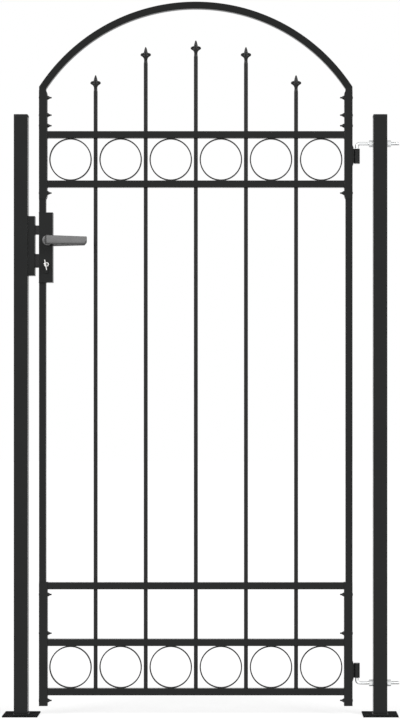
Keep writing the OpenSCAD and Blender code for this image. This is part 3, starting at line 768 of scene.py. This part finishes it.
@dataclass
class SheetScrews:
    """Self-drilling screws that pin the sleeves to the stiles, heads outside and points inside."""

    head_radius: float = 4.0
    head_height: float = 1.5
    recess_radius: float = 1.5
    recess_taper: float = 0.8
    recess_depth: float = 1.0
    recess_middle: float = 0.35
    lobes: int = 6
    lobe_depth: float = 0.16
    core_radius: float = 2.0
    crest_radius: float = 3.0
    thread_start: float = 0.4
    pitch: float = 1.6
    rows_to_pitch: int = 6
    steps: int = 18
    reach: float = 35.7
    point_length: float = 2.4
    upper_drops: tuple[float, ...] = (19.5, 69.3, 99.6)
    upper_rise: float = 17.6
    lower_drops: tuple[float, ...] = (35.2, 146.0)
    lower_rise: float = 11.7
    # Shares of the head's radius and height, from the recess's edge to the sleeve.
    head: tuple[Pair, ...] = ((0.62, 1.0), (0.85, 0.86), (0.97, 0.55), (1.0, 0.2), (1.0, 0.0))
    # Share of the point's length, and radius as a share of the core's.
    point: tuple[Pair, ...] = (
        (0.0, 1.2), (0.35, 1.15), (0.65, 0.98), (0.85, 0.72), (0.97, 0.36), (1.0, 0.06))
    # Radius and height of the metal raised round the hole, in millimetres.
    burr: tuple[Pair, ...] = (
        (2.4, -0.4), (7.2, -0.4), (7.2, 0.1), (6.5, 0.8), (5.8, 1.9), (4.9, 3.3), (4.0, 4.9),
        (3.3, 6.5), (3.0, 7.2), (2.4, 7.0))
    burr_steps: int = 20

    def heights(self) -> list[float]:
        """Works out where the screws stand, from the sleeves' ends.

        Returns:
            Their heights, in metres.
        """
        low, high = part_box("latch_sleeve_upper")
        below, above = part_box("latch_sleeve_lower")
        return [*(high.z - drop * MM for drop in self.upper_drops), low.z + self.upper_rise * MM,
                *(above.z - drop * MM for drop in self.lower_drops), below.z + self.lower_rise * MM]

    def build(self) -> None:
        """Builds every screw and the burr it has raised inside."""
        shell = Shell()
        for side in Side:
            low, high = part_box(f"{side.name.lower()}_sleeve_upper")
            face, web = (low.x, high.x) if side is Side.LATCH else (high.x, low.x)
            for z in self.heights():
                inward = X * side.value
                shell.turned(self.rows(), inward, Vector((face, 0, z)), self.steps, looped=False)
                shell.turned(self.burr, inward, Vector((web, 0, z)), self.burr_steps)
        shell.piece("sleeve_screws", WELDED_COAT, Body.LEAF, sharp=40)

    def rows(self) -> list[Row]:
        """Lists a screw's profile.

        Returns:
            Its rows, from the recess over the head and down to the point.
        """
        recess, floor = self.recess_radius, self.recess_depth - self.head_height
        rows = [(self.recess_middle, floor), self.star(recess * self.recess_taper, floor),
                self.star(recess, -self.head_height)]
        rows += [(self.head_radius * r, -self.head_height * h) for r, h in self.head]
        rows.append((self.core_radius, 0.0))
        height, point = self.thread_start, self.reach - self.point_length
        while height < point:
            rows.append(self.thread(height))
            height += self.pitch / self.rows_to_pitch
        return rows + [(radius * self.core_radius, point + share * self.point_length)
                       for share, radius in self.point]

    def star(self, radius: float, height: float) -> Row:
        """Returns a row of the lobed recess."""
        return lambda angle: (radius * (1 + self.lobe_depth * math.cos(self.lobes * angle)), height)

    def thread(self, height: float) -> Row:
        """Makes a row of the threaded shank.

        Args:
            height: Its height, in millimetres.

        Returns:
            The row, whose crest lies further round the greater its height.
        """
        core, turn = self.core_radius, height / self.pitch
        depth = self.crest_radius - core
        return lambda angle: (
            core + depth * max(0.0, 1 - abs((turn - angle / TURN) % 1.0 - 0.5) * 4), height)


@dataclass
class Spears:
    """Cast spear heads on the bars: a collar, a waist, a tapering point and two dished leaves."""

    leaf_thickness: float = 3.4
    leaf_root: float = 3.0
    leaf_bulge: int = 3
    dimple_depth: float = 1.1
    dimple_at: Pair = (9.0, 26.6)
    dimple_size: Pair = (2.8, 2.6)
    fine_from: float = 19.0
    fine_pitch: float = 0.6
    fine_rows: int = 26
    steps: int = 22
    # Height and half width in millimetres, of the round body and of the leaves.
    body: tuple[Pair, ...] = (
        (0.0, 5.7), (1.2, 5.8), (2.6, 5.7), (4.0, 5.5), (6.0, 5.2), (9.0, 4.95), (11.5, 4.85),
        (14.0, 4.95), (17.0, 5.25), (20.0, 5.5), (23.0, 5.6), (26.0, 5.7), (29.0, 5.7),
        (32.0, 5.6), (34.0, 5.5), (36.0, 5.3), (38.5, 4.8), (41.0, 4.25), (44.0, 3.4),
        (46.5, 2.55), (48.4, 1.8), (49.4, 1.2), (49.9, 0.6), (50.0, 0.15))
    leaf: tuple[Pair, ...] = (
        (0.0, 0.0), (13.0, 0.0), (14.5, 4.0), (17.0, 5.6), (18.8, 6.4), (20.4, 7.7), (21.8, 9.5),
        (23.2, 11.6), (24.4, 13.3), (25.4, 14.4), (26.6, 15.0), (28.4, 14.9), (29.8, 14.4),
        (31.0, 13.6), (32.0, 12.2), (32.7, 10.2), (33.2, 8.2), (33.8, 6.4), (34.6, 4.6),
        (50.0, 0.0))

    @staticmethod
    def blend(table: Sequence[Pair], at: float) -> float:
        """Reads a value between a table's rows.

        Args:
            table: Places with their values, by rising place.
            at: The place to read.

        Returns:
            The value.
        """
        for (a, low), (b, high) in zip(table, table[1:]):
            if at <= b:
                return low + (high - low) * (at - a) / (b - a)
        return table[-1][1]

    def levels(self) -> list[float]:
        """Returns the heights of the rings in millimetres, closer together at the leaves."""
        fine = {round(self.fine_from + self.fine_pitch * i, 2) for i in range(self.fine_rows)}
        return sorted({height for height, _ in self.body} | fine)

    def half_depth(self, x: float, core: float, wide: float, z: float) -> float:
        """Works out half the casting's depth, all in millimetres.

        Args:
            x: Distance from the spear's axis.
            core: Radius of the round body at the height.
            wide: Half the whole width at the height.
            z: The height.

        Returns:
            Half the depth.
        """
        blade = self.leaf_thickness * math.sqrt(max(0.0, 1 - (abs(x) / wide) ** self.leaf_bulge))
        blade *= min(1.0, max(0.0, (wide - core) / self.leaf_root))
        du = (abs(x) - self.dimple_at[0]) / self.dimple_size[0]
        dv = (z - self.dimple_at[1]) / self.dimple_size[1]
        dimple = self.dimple_depth * math.exp(-(du * du + dv * dv))
        blade -= dimple * min(1.0, blade / self.leaf_thickness)
        return max(math.sqrt(max(0.0, core * core - x * x)), blade)

    def build(self) -> None:
        """Builds one spear for each bar and stands it in for its solid."""
        for i in range(1, len(BARS) + 1):
            node = f"finial_{i}"
            low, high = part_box(node)
            x, foot = (low.x + high.x) / 2, low.z
            scale = (high.z - low.z) / (self.body[-1][0] * MM)
            rings = []
            for z in self.levels():
                core = self.blend(self.body, z)
                wide = max(core, self.blend(self.leaf, z))
                ring = []
                for k in range(self.steps + 1):
                    across = wide * math.cos(math.pi * k / self.steps)
                    ends = k in (0, self.steps)
                    depth = 0.0 if ends else self.half_depth(across, core, wide, z)
                    ring.append(Vector((x + across * MM, -depth * MM, foot + z * MM * scale)))
                rings.append(ring + [Vector((p.x, -p.y, p.z)) for p in reversed(ring[1:-1])])
            shell = Shell()
            shell.skin(rings)
            piece = shell.piece(f"spear_{i}", WELDED_COAT, Body.LEAF, sharp=55)
            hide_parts(node)


@dataclass
class HingeHooks:
    """The two L-bolts with their threads, nuts and washers, and the barrels' welds and rims."""

    rod: float = 10.0
    bend: float = 8.0
    bend_steps: int = 18
    pitch: float = 1.5
    rows_to_pitch: int = 8
    thread_depth: float = 0.65
    thread_start: float = 16.0
    thread_fade: float = 3.0
    arm_pitch: float = 3.0
    pin_pitch: float = 4.0
    nut_flats: float = 17.0
    nut_height: float = 9.5
    nut_bite: float = 0.05
    nut_face: float = 0.95
    nut_slope: float = 0.58
    nut_mouth: float = 0.7
    washer: float = 20.0
    washer_height: float = 2.0
    washer_clear: float = 0.3
    chamfer: float = 1.1
    barrel_bead: float = 1.6
    neck_half: float = 19.0
    neck_out: float = 3.2
    neck_share: float = 0.52
    rim_height: float = 2.2
    rim_clear: float = 0.4
    pin_proud: float = 3.0
    pin_trim: float = 1.0
    welds: Welds = field(default_factory=lambda: Welds(random.Random(11)))

    def build(self) -> None:
        """Builds both hooks, their nuts, and the barrels' welds and rims."""
        for level, up in LEVELS:
            self.hook(level, up)
            self.nuts(level)
        self.barrel_welds()
        self.barrel_rims()

    def hook(self, level: str, up: int) -> None:
        """Builds one L-bolt from its free end, round the bend and down its pin.

        Args:
            level: Which hinge.
            up: 1 where the arm is above the barrel, -1 where it is below.
        """
        node = f"{level}_hinge_bolt"
        low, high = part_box(node)
        r, bend, cut = self.rod / 2 * MM, self.bend * MM, self.chamfer * MM
        arm_z = high.z - r if up > 0 else low.z + r
        foot = Vector((low.x + r, 0, (low.z if up > 0 else high.z) + up * self.pin_trim * MM))
        bend_x = low.x + r + bend
        thread_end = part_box("hinge_post")[0].x - self.thread_start * MM
        path: Ring = []
        x = high.x
        while x > thread_end:
            path.append(Vector((x, 0, arm_z)))
            x -= self.pitch / self.rows_to_pitch * MM
        threaded = len(path)
        arm = (Vector((x, 0, arm_z)) for x in (thread_end, bend_x))
        path += line(*arm, self.arm_pitch)[:-1]
        for turn in (QUARTER * share for share in shares(self.bend_steps)):
            path.append(Vector((bend_x - math.sin(turn) * bend, 0,
                                arm_z - up * (bend - math.cos(turn) * bend))))
        path += line(Vector((foot.x, 0, arm_z - up * bend)), foot, self.pin_pitch)[1:-1]
        path += [foot + Z * up * cut, foot]

        def radius(i: int, angle: float) -> float:
            """Works out the rod's radius, with its thread and its cut ends.

            Args:
                i: Index of the path's point.
                angle: Angle round the section.

            Returns:
                The radius, in metres.
            """
            if i >= threaded:
                return r - cut if i == len(path) - 1 else r
            at = path[i].x
            phase = (at / (self.pitch * MM) + angle / TURN) % 1.0
            depth = self.thread_depth * MM * min(1.0, (at - thread_end) / (self.thread_fade * MM))
            return r - max(abs(phase - 0.5) * 2 * depth, cut - (high.x - at))

        shell = Shell()
        shell.swept(path, Y, radius, steps=24)
        piece = shell.piece(f"{level}_hook", ZINC_PLATE, Body.POSTS, sharp=50)
        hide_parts(node)

    def nuts(self, level: str) -> None:
        """Builds the two nuts and washers of one hook.

        Args:
            level: Which hinge.
        """
        node = f"{level}_hinge_nuts"
        z = middle(node).z
        shell = Shell()
        bore, rim, h = self.rod / 2 + self.washer_clear, self.washer / 2, self.washer_height
        washer = [(bore, 0.0), (rim - 0.3, 0.0), (rim, 0.3), (rim, h - 0.5), (rim - 0.5, h),
                  (bore + 0.2, h)]
        for face, outward in zip(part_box("hinge_post"), (-X, X)):
            foot = Vector((face.x, 0, z))
            shell.turned(washer, outward, foot)
            shell.turned(self.nut_rows(), outward, foot + outward * h * MM, steps=48)
        piece = shell.piece(f"{level}_hook_nuts", ZINC_PLATE, Body.POSTS, sharp=25)
        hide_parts(node)

    def nut_rows(self) -> list[Row]:
        """Lists a nut's profile, whose corners are chamfered towards both faces.

        Returns:
            Its rows, from the mouth of the bore round the outside and back.
        """
        bore, h, mouth = self.rod / 2 - self.nut_bite, self.nut_height, self.nut_mouth
        flat, slope = self.nut_flats / 2, self.nut_slope
        face = flat * self.nut_face

        def reach(angle: float) -> float:
            """Returns the hexagon's radius in millimetres at an angle."""
            return flat / math.cos((angle + math.pi / 6) % (math.pi / 3) - math.pi / 6)

        return [(bore, mouth), (bore + mouth, 0.0), (face, 0.0),
                lambda a: (reach(a), (reach(a) - face) * slope),
                lambda a: (reach(a), h - (reach(a) - face) * slope),
                (face, h), (bore + mouth, h), (bore, h - mouth)]

    def barrel_welds(self) -> None:
        """Lays beads along the barrels' necks and plates."""
        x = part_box("hinge_stile")[1].x + self.neck_out * MM
        for level, _ in LEVELS:
            node = f"{level}_hinge_barrel"
            z, half = middle(node).z, self.neck_half * MM
            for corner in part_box(node):
                y = corner.y * self.neck_share
                self.welds.seam(Vector((x, y, z - half)), Vector((x, y, z + half)), Y,
                                self.barrel_bead)
        self.welds.piece("barrel_welds", Body.LEAF)

    def barrel_rims(self) -> None:
        """Finishes the end of each barrel that its pin comes out of with a ring."""
        shell = Shell()
        h, bore = self.rim_height, self.rod / 2 + self.rim_clear
        for level, up in LEVELS:
            low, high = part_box(f"{level}_hinge_bolt")
            axis = low.x + self.rod / 2 * MM
            rim = (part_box(f"{level}_hinge_barrel")[1].x - axis) / MM
            rows = [(bore, 0.0), (rim, 0.0), (rim, h - 0.4), (rim - 0.4, h), (bore + 0.3, h),
                    (bore, h - 0.3)]
            pin_end = low.z if up > 0 else high.z
            shell.turned(rows, Z * -up, Vector((axis, 0, pin_end + up * self.pin_proud * MM)))
        shell.piece("barrel_rims", POWDER_COAT, Body.LEAF, sharp=40)


@dataclass
class Posts:
    """The posts' caps, and the welds of the posts and the keeper."""

    post: float = 40.0
    corner: float = 3.0
    lid_edge: float = 1.4
    lid_steps: int = 5
    foot_bead: float = 2.4
    foot_pitch: float = 0.8
    keeper_bead: float = 1.3
    keeper_inset: float = 0.6
    keeper_end: float = 2.0
    posts: tuple[str, ...] = ("latch_post", "hinge_post")
    welds: Welds = field(default_factory=lambda: Welds(random.Random(23), ripple=2.2))

    def build(self) -> None:
        """Builds the caps and the welds of both posts."""
        for name in self.posts:
            self.lid(name)
        self.post_welds()

    def lid(self, post: str) -> None:
        """Moulds the head of a post's cap, with a narrow round edge.

        Args:
            post: The post that it closes.
        """
        node = f"{post}_cap"
        centre, top = middle(node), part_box(node)[1].z
        rows = [(0.0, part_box(post)[1].z)]
        for turn in (QUARTER * share for share in shares(self.lid_steps)):
            rows.append((self.lid_edge * (1 - math.cos(turn)),
                         top - self.lid_edge * (1 - math.sin(turn)) * MM))
        shell = Shell()
        shell.skin([laid(round_square(self.post / 2 - inset, self.corner - inset, pitch=self.post),
                         Vector((centre.x, centre.y, z))) for inset, z in rows])
        piece = shell.piece(f"{post}_lid", MOULDED_PLASTIC, Body.POSTS)
        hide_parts(node)

    def post_welds(self) -> None:
        """Runs beads round the feet of both posts and round the keeper."""
        outline = round_square(self.post / 2, self.corner, self.foot_pitch)
        for name in self.posts:
            foot = Vector((*middle(name).xy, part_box(f"{name}_base")[1].z))
            self.welds.collar(outline, foot, self.foot_bead)
        low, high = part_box("keeper")
        inset, end = self.keeper_inset * MM, self.keeper_end * MM
        for y in (low.y + inset, high.y - inset):
            self.welds.seam(Vector((low.x, y, low.z + end)), Vector((low.x, y, high.z - end)), Y,
                            self.keeper_bead)
        for z in (low.z, high.z):
            self.welds.seam(Vector((low.x, low.y + end, z)), Vector((low.x, high.y - end, z)), Z,
                            self.keeper_bead)
        self.welds.piece("post_welds", Body.POSTS)


@dataclass(frozen=True)
class Station:
    """A place on a lever's path, in millimetres from the spindle and from the gate's middle plane.

    heading is 0 outwards and a quarter turn along the grip. grip is 0 for the round neck's section
    and 1 for the bevelled grip's. share runs along the grip's length. shrink scales the section
    about its middle, and raised lifts its foot.
    """

    x: float
    y: float
    half: float
    heading: float = QUARTER
    grip: float = 1.0
    share: float = 0.0
    shrink: float = 1.0
    raised: float = 0.0


@dataclass
class LockParts:
    """Weld beads of the lock case, rosettes, the core's rim and the two levers."""

    rosette: float = 31.0
    rosette_height: float = 4.0
    neck: float = 14.0
    neck_round: float = 0.97
    neck_clear: float = 0.3
    reach: float = 48.0
    thickness: float = 11.0
    bend: float = 6.5
    bend_swell: float = 0.6
    swell_length: float = 8.0
    root: Pair = (-12.7, 12.2)
    tips: dict[str, Pair] = field(default_factory=lambda: {
        "front_lever": (-15.4, 8.4), "rear_lever": (-10.4, 8.4)})
    bevel_low: Pair = (3.0, 5.2)
    bevel_most: float = 0.45
    bevel_lean: float = 0.75
    bevel_top: float = 1.4
    side_points: int = 4
    side_span: float = 0.9
    neck_lean: float = 0.8
    # Swell, bend and grip: stations on each stretch of the path.
    stretches: tuple[int, int, int] = (6, 9, 12)
    end_cut: Pair = (6.4, 7.6)
    # Share of the cut end's length, and scale of the section there.
    end_rows: tuple[Pair, ...] = ((0.1, 1.0), (0.45, 1.0), (0.8, 1.0), (0.93, 0.96), (1.0, 0.86))
    case_bead: float = 1.2
    rim_band: float = 2.2
    rim_proud: float = 0.25
    tube: float = 20.0
    tube_corner: float = 2.0
    welds: Welds = field(default_factory=lambda: Welds(random.Random(31)))

    def build(self) -> None:
        """Builds the case's welds, the rosettes, the core's rim and both levers."""
        self.case_welds()
        self.rosettes()
        self.core_rim()
        for name, outward in (("front_lever", -1), ("rear_lever", 1)):
            self.lever(name, outward)

    def case_welds(self) -> None:
        """Runs a bead round the stile above and below the case."""
        outline, x = round_square(self.tube / 2, self.tube_corner), middle("latch_stile_lower").x
        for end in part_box("lock_case"):
            self.welds.collar(outline, Vector((x, 0, end.z)), self.case_bead)
        self.welds.piece("case_welds", Body.LEAF)

    def rosettes(self) -> None:
        """Builds both rosettes with a rounded rim and a shallow step."""
        shell = Shell()
        axis = middle("spindle")
        r, h, bore = self.rosette / 2, self.rosette_height, self.neck / 2 + self.neck_clear
        rows = [(bore, 0.0), (r, 0.0), (r, h * 0.55), (r - 0.35, h * 0.8), (r - 1.1, h * 0.97),
                (r - 1.8, h), (bore + 1.6, h), (bore + 1.3, h - 0.35), (bore + 0.4, h - 0.35),
                (bore, h - 0.7)]
        for face, outward in zip(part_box("lock_case"), (-Y, Y)):
            shell.turned(rows, outward, Vector((axis.x, face.y, axis.z)), steps=56)
        piece = shell.piece("lever_rosettes", SATIN_ALUMINIUM, Body.LEAF, sharp=40)
        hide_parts("rosettes")

    def core_rim(self) -> None:
        """Turns the bright rim that stands round the lock core's darker face."""
        low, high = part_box("lock_core")
        outer, proud = (high.x - low.x) / 2 / MM, self.rim_proud
        inner = outer - self.rim_band
        centre = middle("lock_core")
        shell = Shell()
        shell.turned([(inner, 0.0), (outer, 0.0), (outer, proud / 2), (outer - proud, proud),
                      (inner, proud)], -Y, Vector((centre.x, low.y, centre.z)), steps=48)
        shell.piece("core_rim", NICKEL_PLATE, Body.KEY)

    def section(self, at: Station, tip: Pair) -> list[Pair]:
        """Works out a lever's section, in millimetres.

        Args:
            at: Where it is cut.
            tip: Foot and top of the grip at its end.

        Returns:
            Its points counter-clockwise, across with the outer face on the right, and up.
        """
        low, top = (a + (b - a) * at.share for a, b in zip(self.root, tip))
        low += at.raised
        bevel = self.bevel_low[0] + (self.bevel_low[1] - self.bevel_low[0]) * at.share
        b, t, half = min(bevel, (top - low) * self.bevel_most), self.bevel_top, at.half
        corners = [(half, low + b), (half, top - t), (half - t, top), (-half + t, top),
                   (-half, top - t), (-half, low + t), (-half + t, low),
                   (half - b * self.bevel_lean, low)]
        centre, neck = (low + top) / 2, self.neck / 2 * self.neck_round
        points = []
        for start, end in zip(corners, corners[1:] + corners[:1]):
            for k in range(self.side_points):
                share = 0.5 + ((k + 0.5) / self.side_points - 0.5) * self.side_span
                x, z = (s + (e - s) * share for s, e in zip(start, end))
                angle = math.atan2(z - centre, x * (top - low) / (2 * half) * self.neck_lean)
                x, z = (r + (flat - r) * at.grip for r, flat in
                        ((neck * math.cos(angle), x), (neck * math.sin(angle), z)))
                points.append((x * at.shrink, centre + (z - centre) * at.shrink))
        return points

    def stations(self, start: float, length: float) -> list[Station]:
        """Lists a lever's path: a round neck that swells and bends into a bevelled grip.

        Args:
            start: Where the neck starts, from the gate's middle plane.
            length: From the spindle's axis to the lever's end.

        Returns:
            The path's stations.
        """
        neck, grip = self.neck / 2, self.thickness / 2
        centre = self.reach - grip
        bend_from = centre - self.bend
        swell_from = bend_from - self.swell_length
        swells, bends, spans = self.stretches
        cut, lift = self.end_cut
        path = [Station(0.0, y, neck, 0.0, 0.0) for y in (start, swell_from)]
        for share in shares(swells, 1):
            path.append(Station(0.0, swell_from + self.swell_length * share,
                                neck + (grip + self.bend_swell - neck) * share, 0.0,
                                share * share * (3 - 2 * share)))
        for share in shares(bends, 1):
            turn = QUARTER * share
            path.append(Station(self.bend * (1 - math.cos(turn)),
                                bend_from + self.bend * math.sin(turn),
                                grip + self.bend_swell * (1 - share), turn))
        path += [Station(self.bend + (length - cut - self.bend) * share, centre, grip, share=share)
                 for share in shares(spans, 1)]
        return path + [Station(length - cut + cut * step, centre, grip, share=1.0, shrink=shrink,
                               raised=lift * step) for step, shrink in self.end_rows]

    def lever(self, name: str, outward: int) -> None:
        """Casts one lever along its path.

        Args:
            name: The solid that it stands for.
            outward: -1 for the front lever, 1 for the rear one.
        """
        low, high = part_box(name)
        axis = middle("spindle")
        start, length = min(abs(low.y), abs(high.y)) / MM, (high.x - axis.x) / MM
        rings = []
        for at in self.stations(start, length):
            rings.append([axis + Vector((at.x - math.cos(at.heading) * across,
                                         outward * (at.y + math.sin(at.heading) * across), up)) * MM
                          for across, up in self.section(at, self.tips[name])])
        shell = Shell()
        shell.skin(rings)
        piece = shell.piece(f"{name}_casting", SATIN_ALUMINIUM, Body.HANDLE, sharp=32)
        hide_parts(name)


@dataclass
class Coats:
    """Which finish each of the part's own solids wears."""

    by_slot: dict[str, Finish] = field(default_factory=lambda: {
        finish.slot.value: finish for finish in (
            POWDER_COAT, ZINC_PLATE, SATIN_ALUMINIUM, NICKEL_PLATE, BOLT_STEEL, MOULDED_PLASTIC)})
    by_node: dict[str, Finish] = field(default_factory=lambda: {
        # The bars wear the lighter copy of the coat, with its painted light.
        **{bar: BAR_PAINTED_LIGHT_COAT for bar in BARS},
        "latch_post_base": FOOT_COAT, "hinge_post_base": FOOT_COAT, "lock_core": BOLT_STEEL})

    def build(self) -> None:
        """Dresses every solid in the finish of its slot."""
        for row in frame["record"]["subparts"]:
            solid = frame["nodes"][row["node"]]
            finish = self.by_node.get(row["node"], self.by_slot[row["material_slot"]])
            solid.data.materials.clear()
            solid.data.materials.append(finish.material())
            LOG.info("%s: %s", row["node"], finish.name)


# ---- light, floor and camera


@dataclass
class Studio:
    """Pale floor, soft light and the camera."""

    world_level: float = 0.22
    sun_strength: float = 2.05
    sun_angle: float = 30.0
    sun_azimuth: float = 50.0
    sun_height: float = 28.0
    sun_distance: float = 5.0
    floor_size: float = 60.0
    floor_glow: float = 0.80
    floor_shown: float = 0.30
    floor_bounce: float = 0.25
    focal: float = 104.97
    sensor: float = 36.0
    clip_end: float = 200.0
    place: Colour = (-0.377, -6.0, 0.870)
    shift: Pair = (-0.06711, 0.0716)

    def build(self) -> None:
        """Sets the view, the world, the lights, the floor and the camera."""
        bpy.context.scene.view_settings.view_transform = "Standard"
        self.world()
        for name, turn in (("right_light", self.sun_azimuth), ("left_light", -self.sun_azimuth)):
            self.sun(name, math.radians(turn))
        self.floor()
        self.camera()

    @staticmethod
    def split(graph: Graph, hidden: Socket, shown: Socket) -> Socket:
        """Shows one shader to the rays that look at the scene or are mirrored in it.

        Args:
            graph: The tree that takes the nodes.
            hidden: The shader for all other rays, which light the scene.
            shown: The shader for camera, glossy and transmission rays.

        Returns:
            The mixed shader.
        """
        rays = graph.add("ShaderNodeLightPath").outputs
        seen = graph.math("MAXIMUM", rays["Is Camera Ray"], rays["Is Glossy Ray"])
        seen = graph.math("MAXIMUM", seen, rays["Is Transmission Ray"])
        return graph.add("ShaderNodeMixShader", {0: seen, 1: hidden, 2: shown}).outputs[0]

    def world(self) -> None:
        """Makes a world that is white to look at and gives a softer light."""
        world = bpy.data.worlds.new("studio")
        world.use_nodes = True
        bpy.context.scene.world = world
        graph = Graph(world.node_tree)
        graph.tree.nodes.clear()
        light, shown = (graph.add("ShaderNodeBackground", {"Strength": level, "Color": grey(1.0)})
                        for level in (self.world_level, 1.0))
        graph.add("ShaderNodeOutputWorld", {
            "Surface": self.split(graph, light.outputs[0], shown.outputs[0])})

    def sun(self, name: str, azimuth: float) -> None:
        """Adds a soft key light in front of the gate.

        Args:
            name: Its name.
            azimuth: How far it stands to the right of straight ahead, in radians.
        """
        lamp = bpy.data.lights.new(name, "SUN")
        lamp.energy = self.sun_strength
        lamp.angle = math.radians(self.sun_angle)
        light = linked(name, lamp)
        height = math.radians(self.sun_height)
        towards = Vector((math.sin(azimuth) * math.cos(height),
                          -math.cos(azimuth) * math.cos(height), math.sin(height)))
        light.rotation_euler = towards.to_track_quat("Z", "Y").to_euler()
        light.location = towards * self.sun_distance

    def floor(self) -> None:
        """Lays a floor that looks white and keeps a faint shadow."""
        half = self.floor_size / 2
        mesh = bpy.data.meshes.new("floor")
        mesh.from_pydata([(-half, -half, 0), (half, -half, 0), (half, half, 0), (-half, half, 0)],
                         [], [(0, 1, 2, 3)])
        floor = linked("floor", mesh)
        material = bpy.data.materials.new("pale_floor")
        material.use_nodes = True
        graph = Graph(material.node_tree)
        graph.tree.nodes.clear()
        bounce, shown = (graph.add("ShaderNodeBsdfDiffuse", {"Color": grey(level)}).outputs[0]
                         for level in (self.floor_bounce, self.floor_shown))
        glow = graph.add("ShaderNodeEmission", {"Strength": self.floor_glow}).outputs[0]
        both = graph.add("ShaderNodeAddShader", {0: shown, 1: glow}).outputs[0]
        graph.add("ShaderNodeOutputMaterial", {"Surface": self.split(graph, bounce, both)})
        mesh.materials.append(material)

    def camera(self) -> None:
        """Sets the camera level in front of the gate, framed by its shift."""
        lens = bpy.data.cameras.new("camera")
        lens.lens = self.focal
        lens.sensor_width = self.sensor
        lens.shift_x, lens.shift_y = self.shift
        lens.clip_end = self.clip_end
        camera = linked("camera", lens)
        camera.location = self.place
        camera.rotation_euler = (QUARTER, 0, 0)
        bpy.context.scene.camera = camera


def main() -> None:
    """Builds the sub-assemblies in order."""
    logging.basicConfig(level=logging.INFO, format="%(name)s: %(message)s")
    for part in (Studio(), Coats(), LeafFrame(), SheetScrews(), Spears(), HingeHooks(), Posts(),
                 LockParts()):
        LOG.info("building %s", type(part).__name__)
        part.build()


if __name__ == "__main__":
    main()
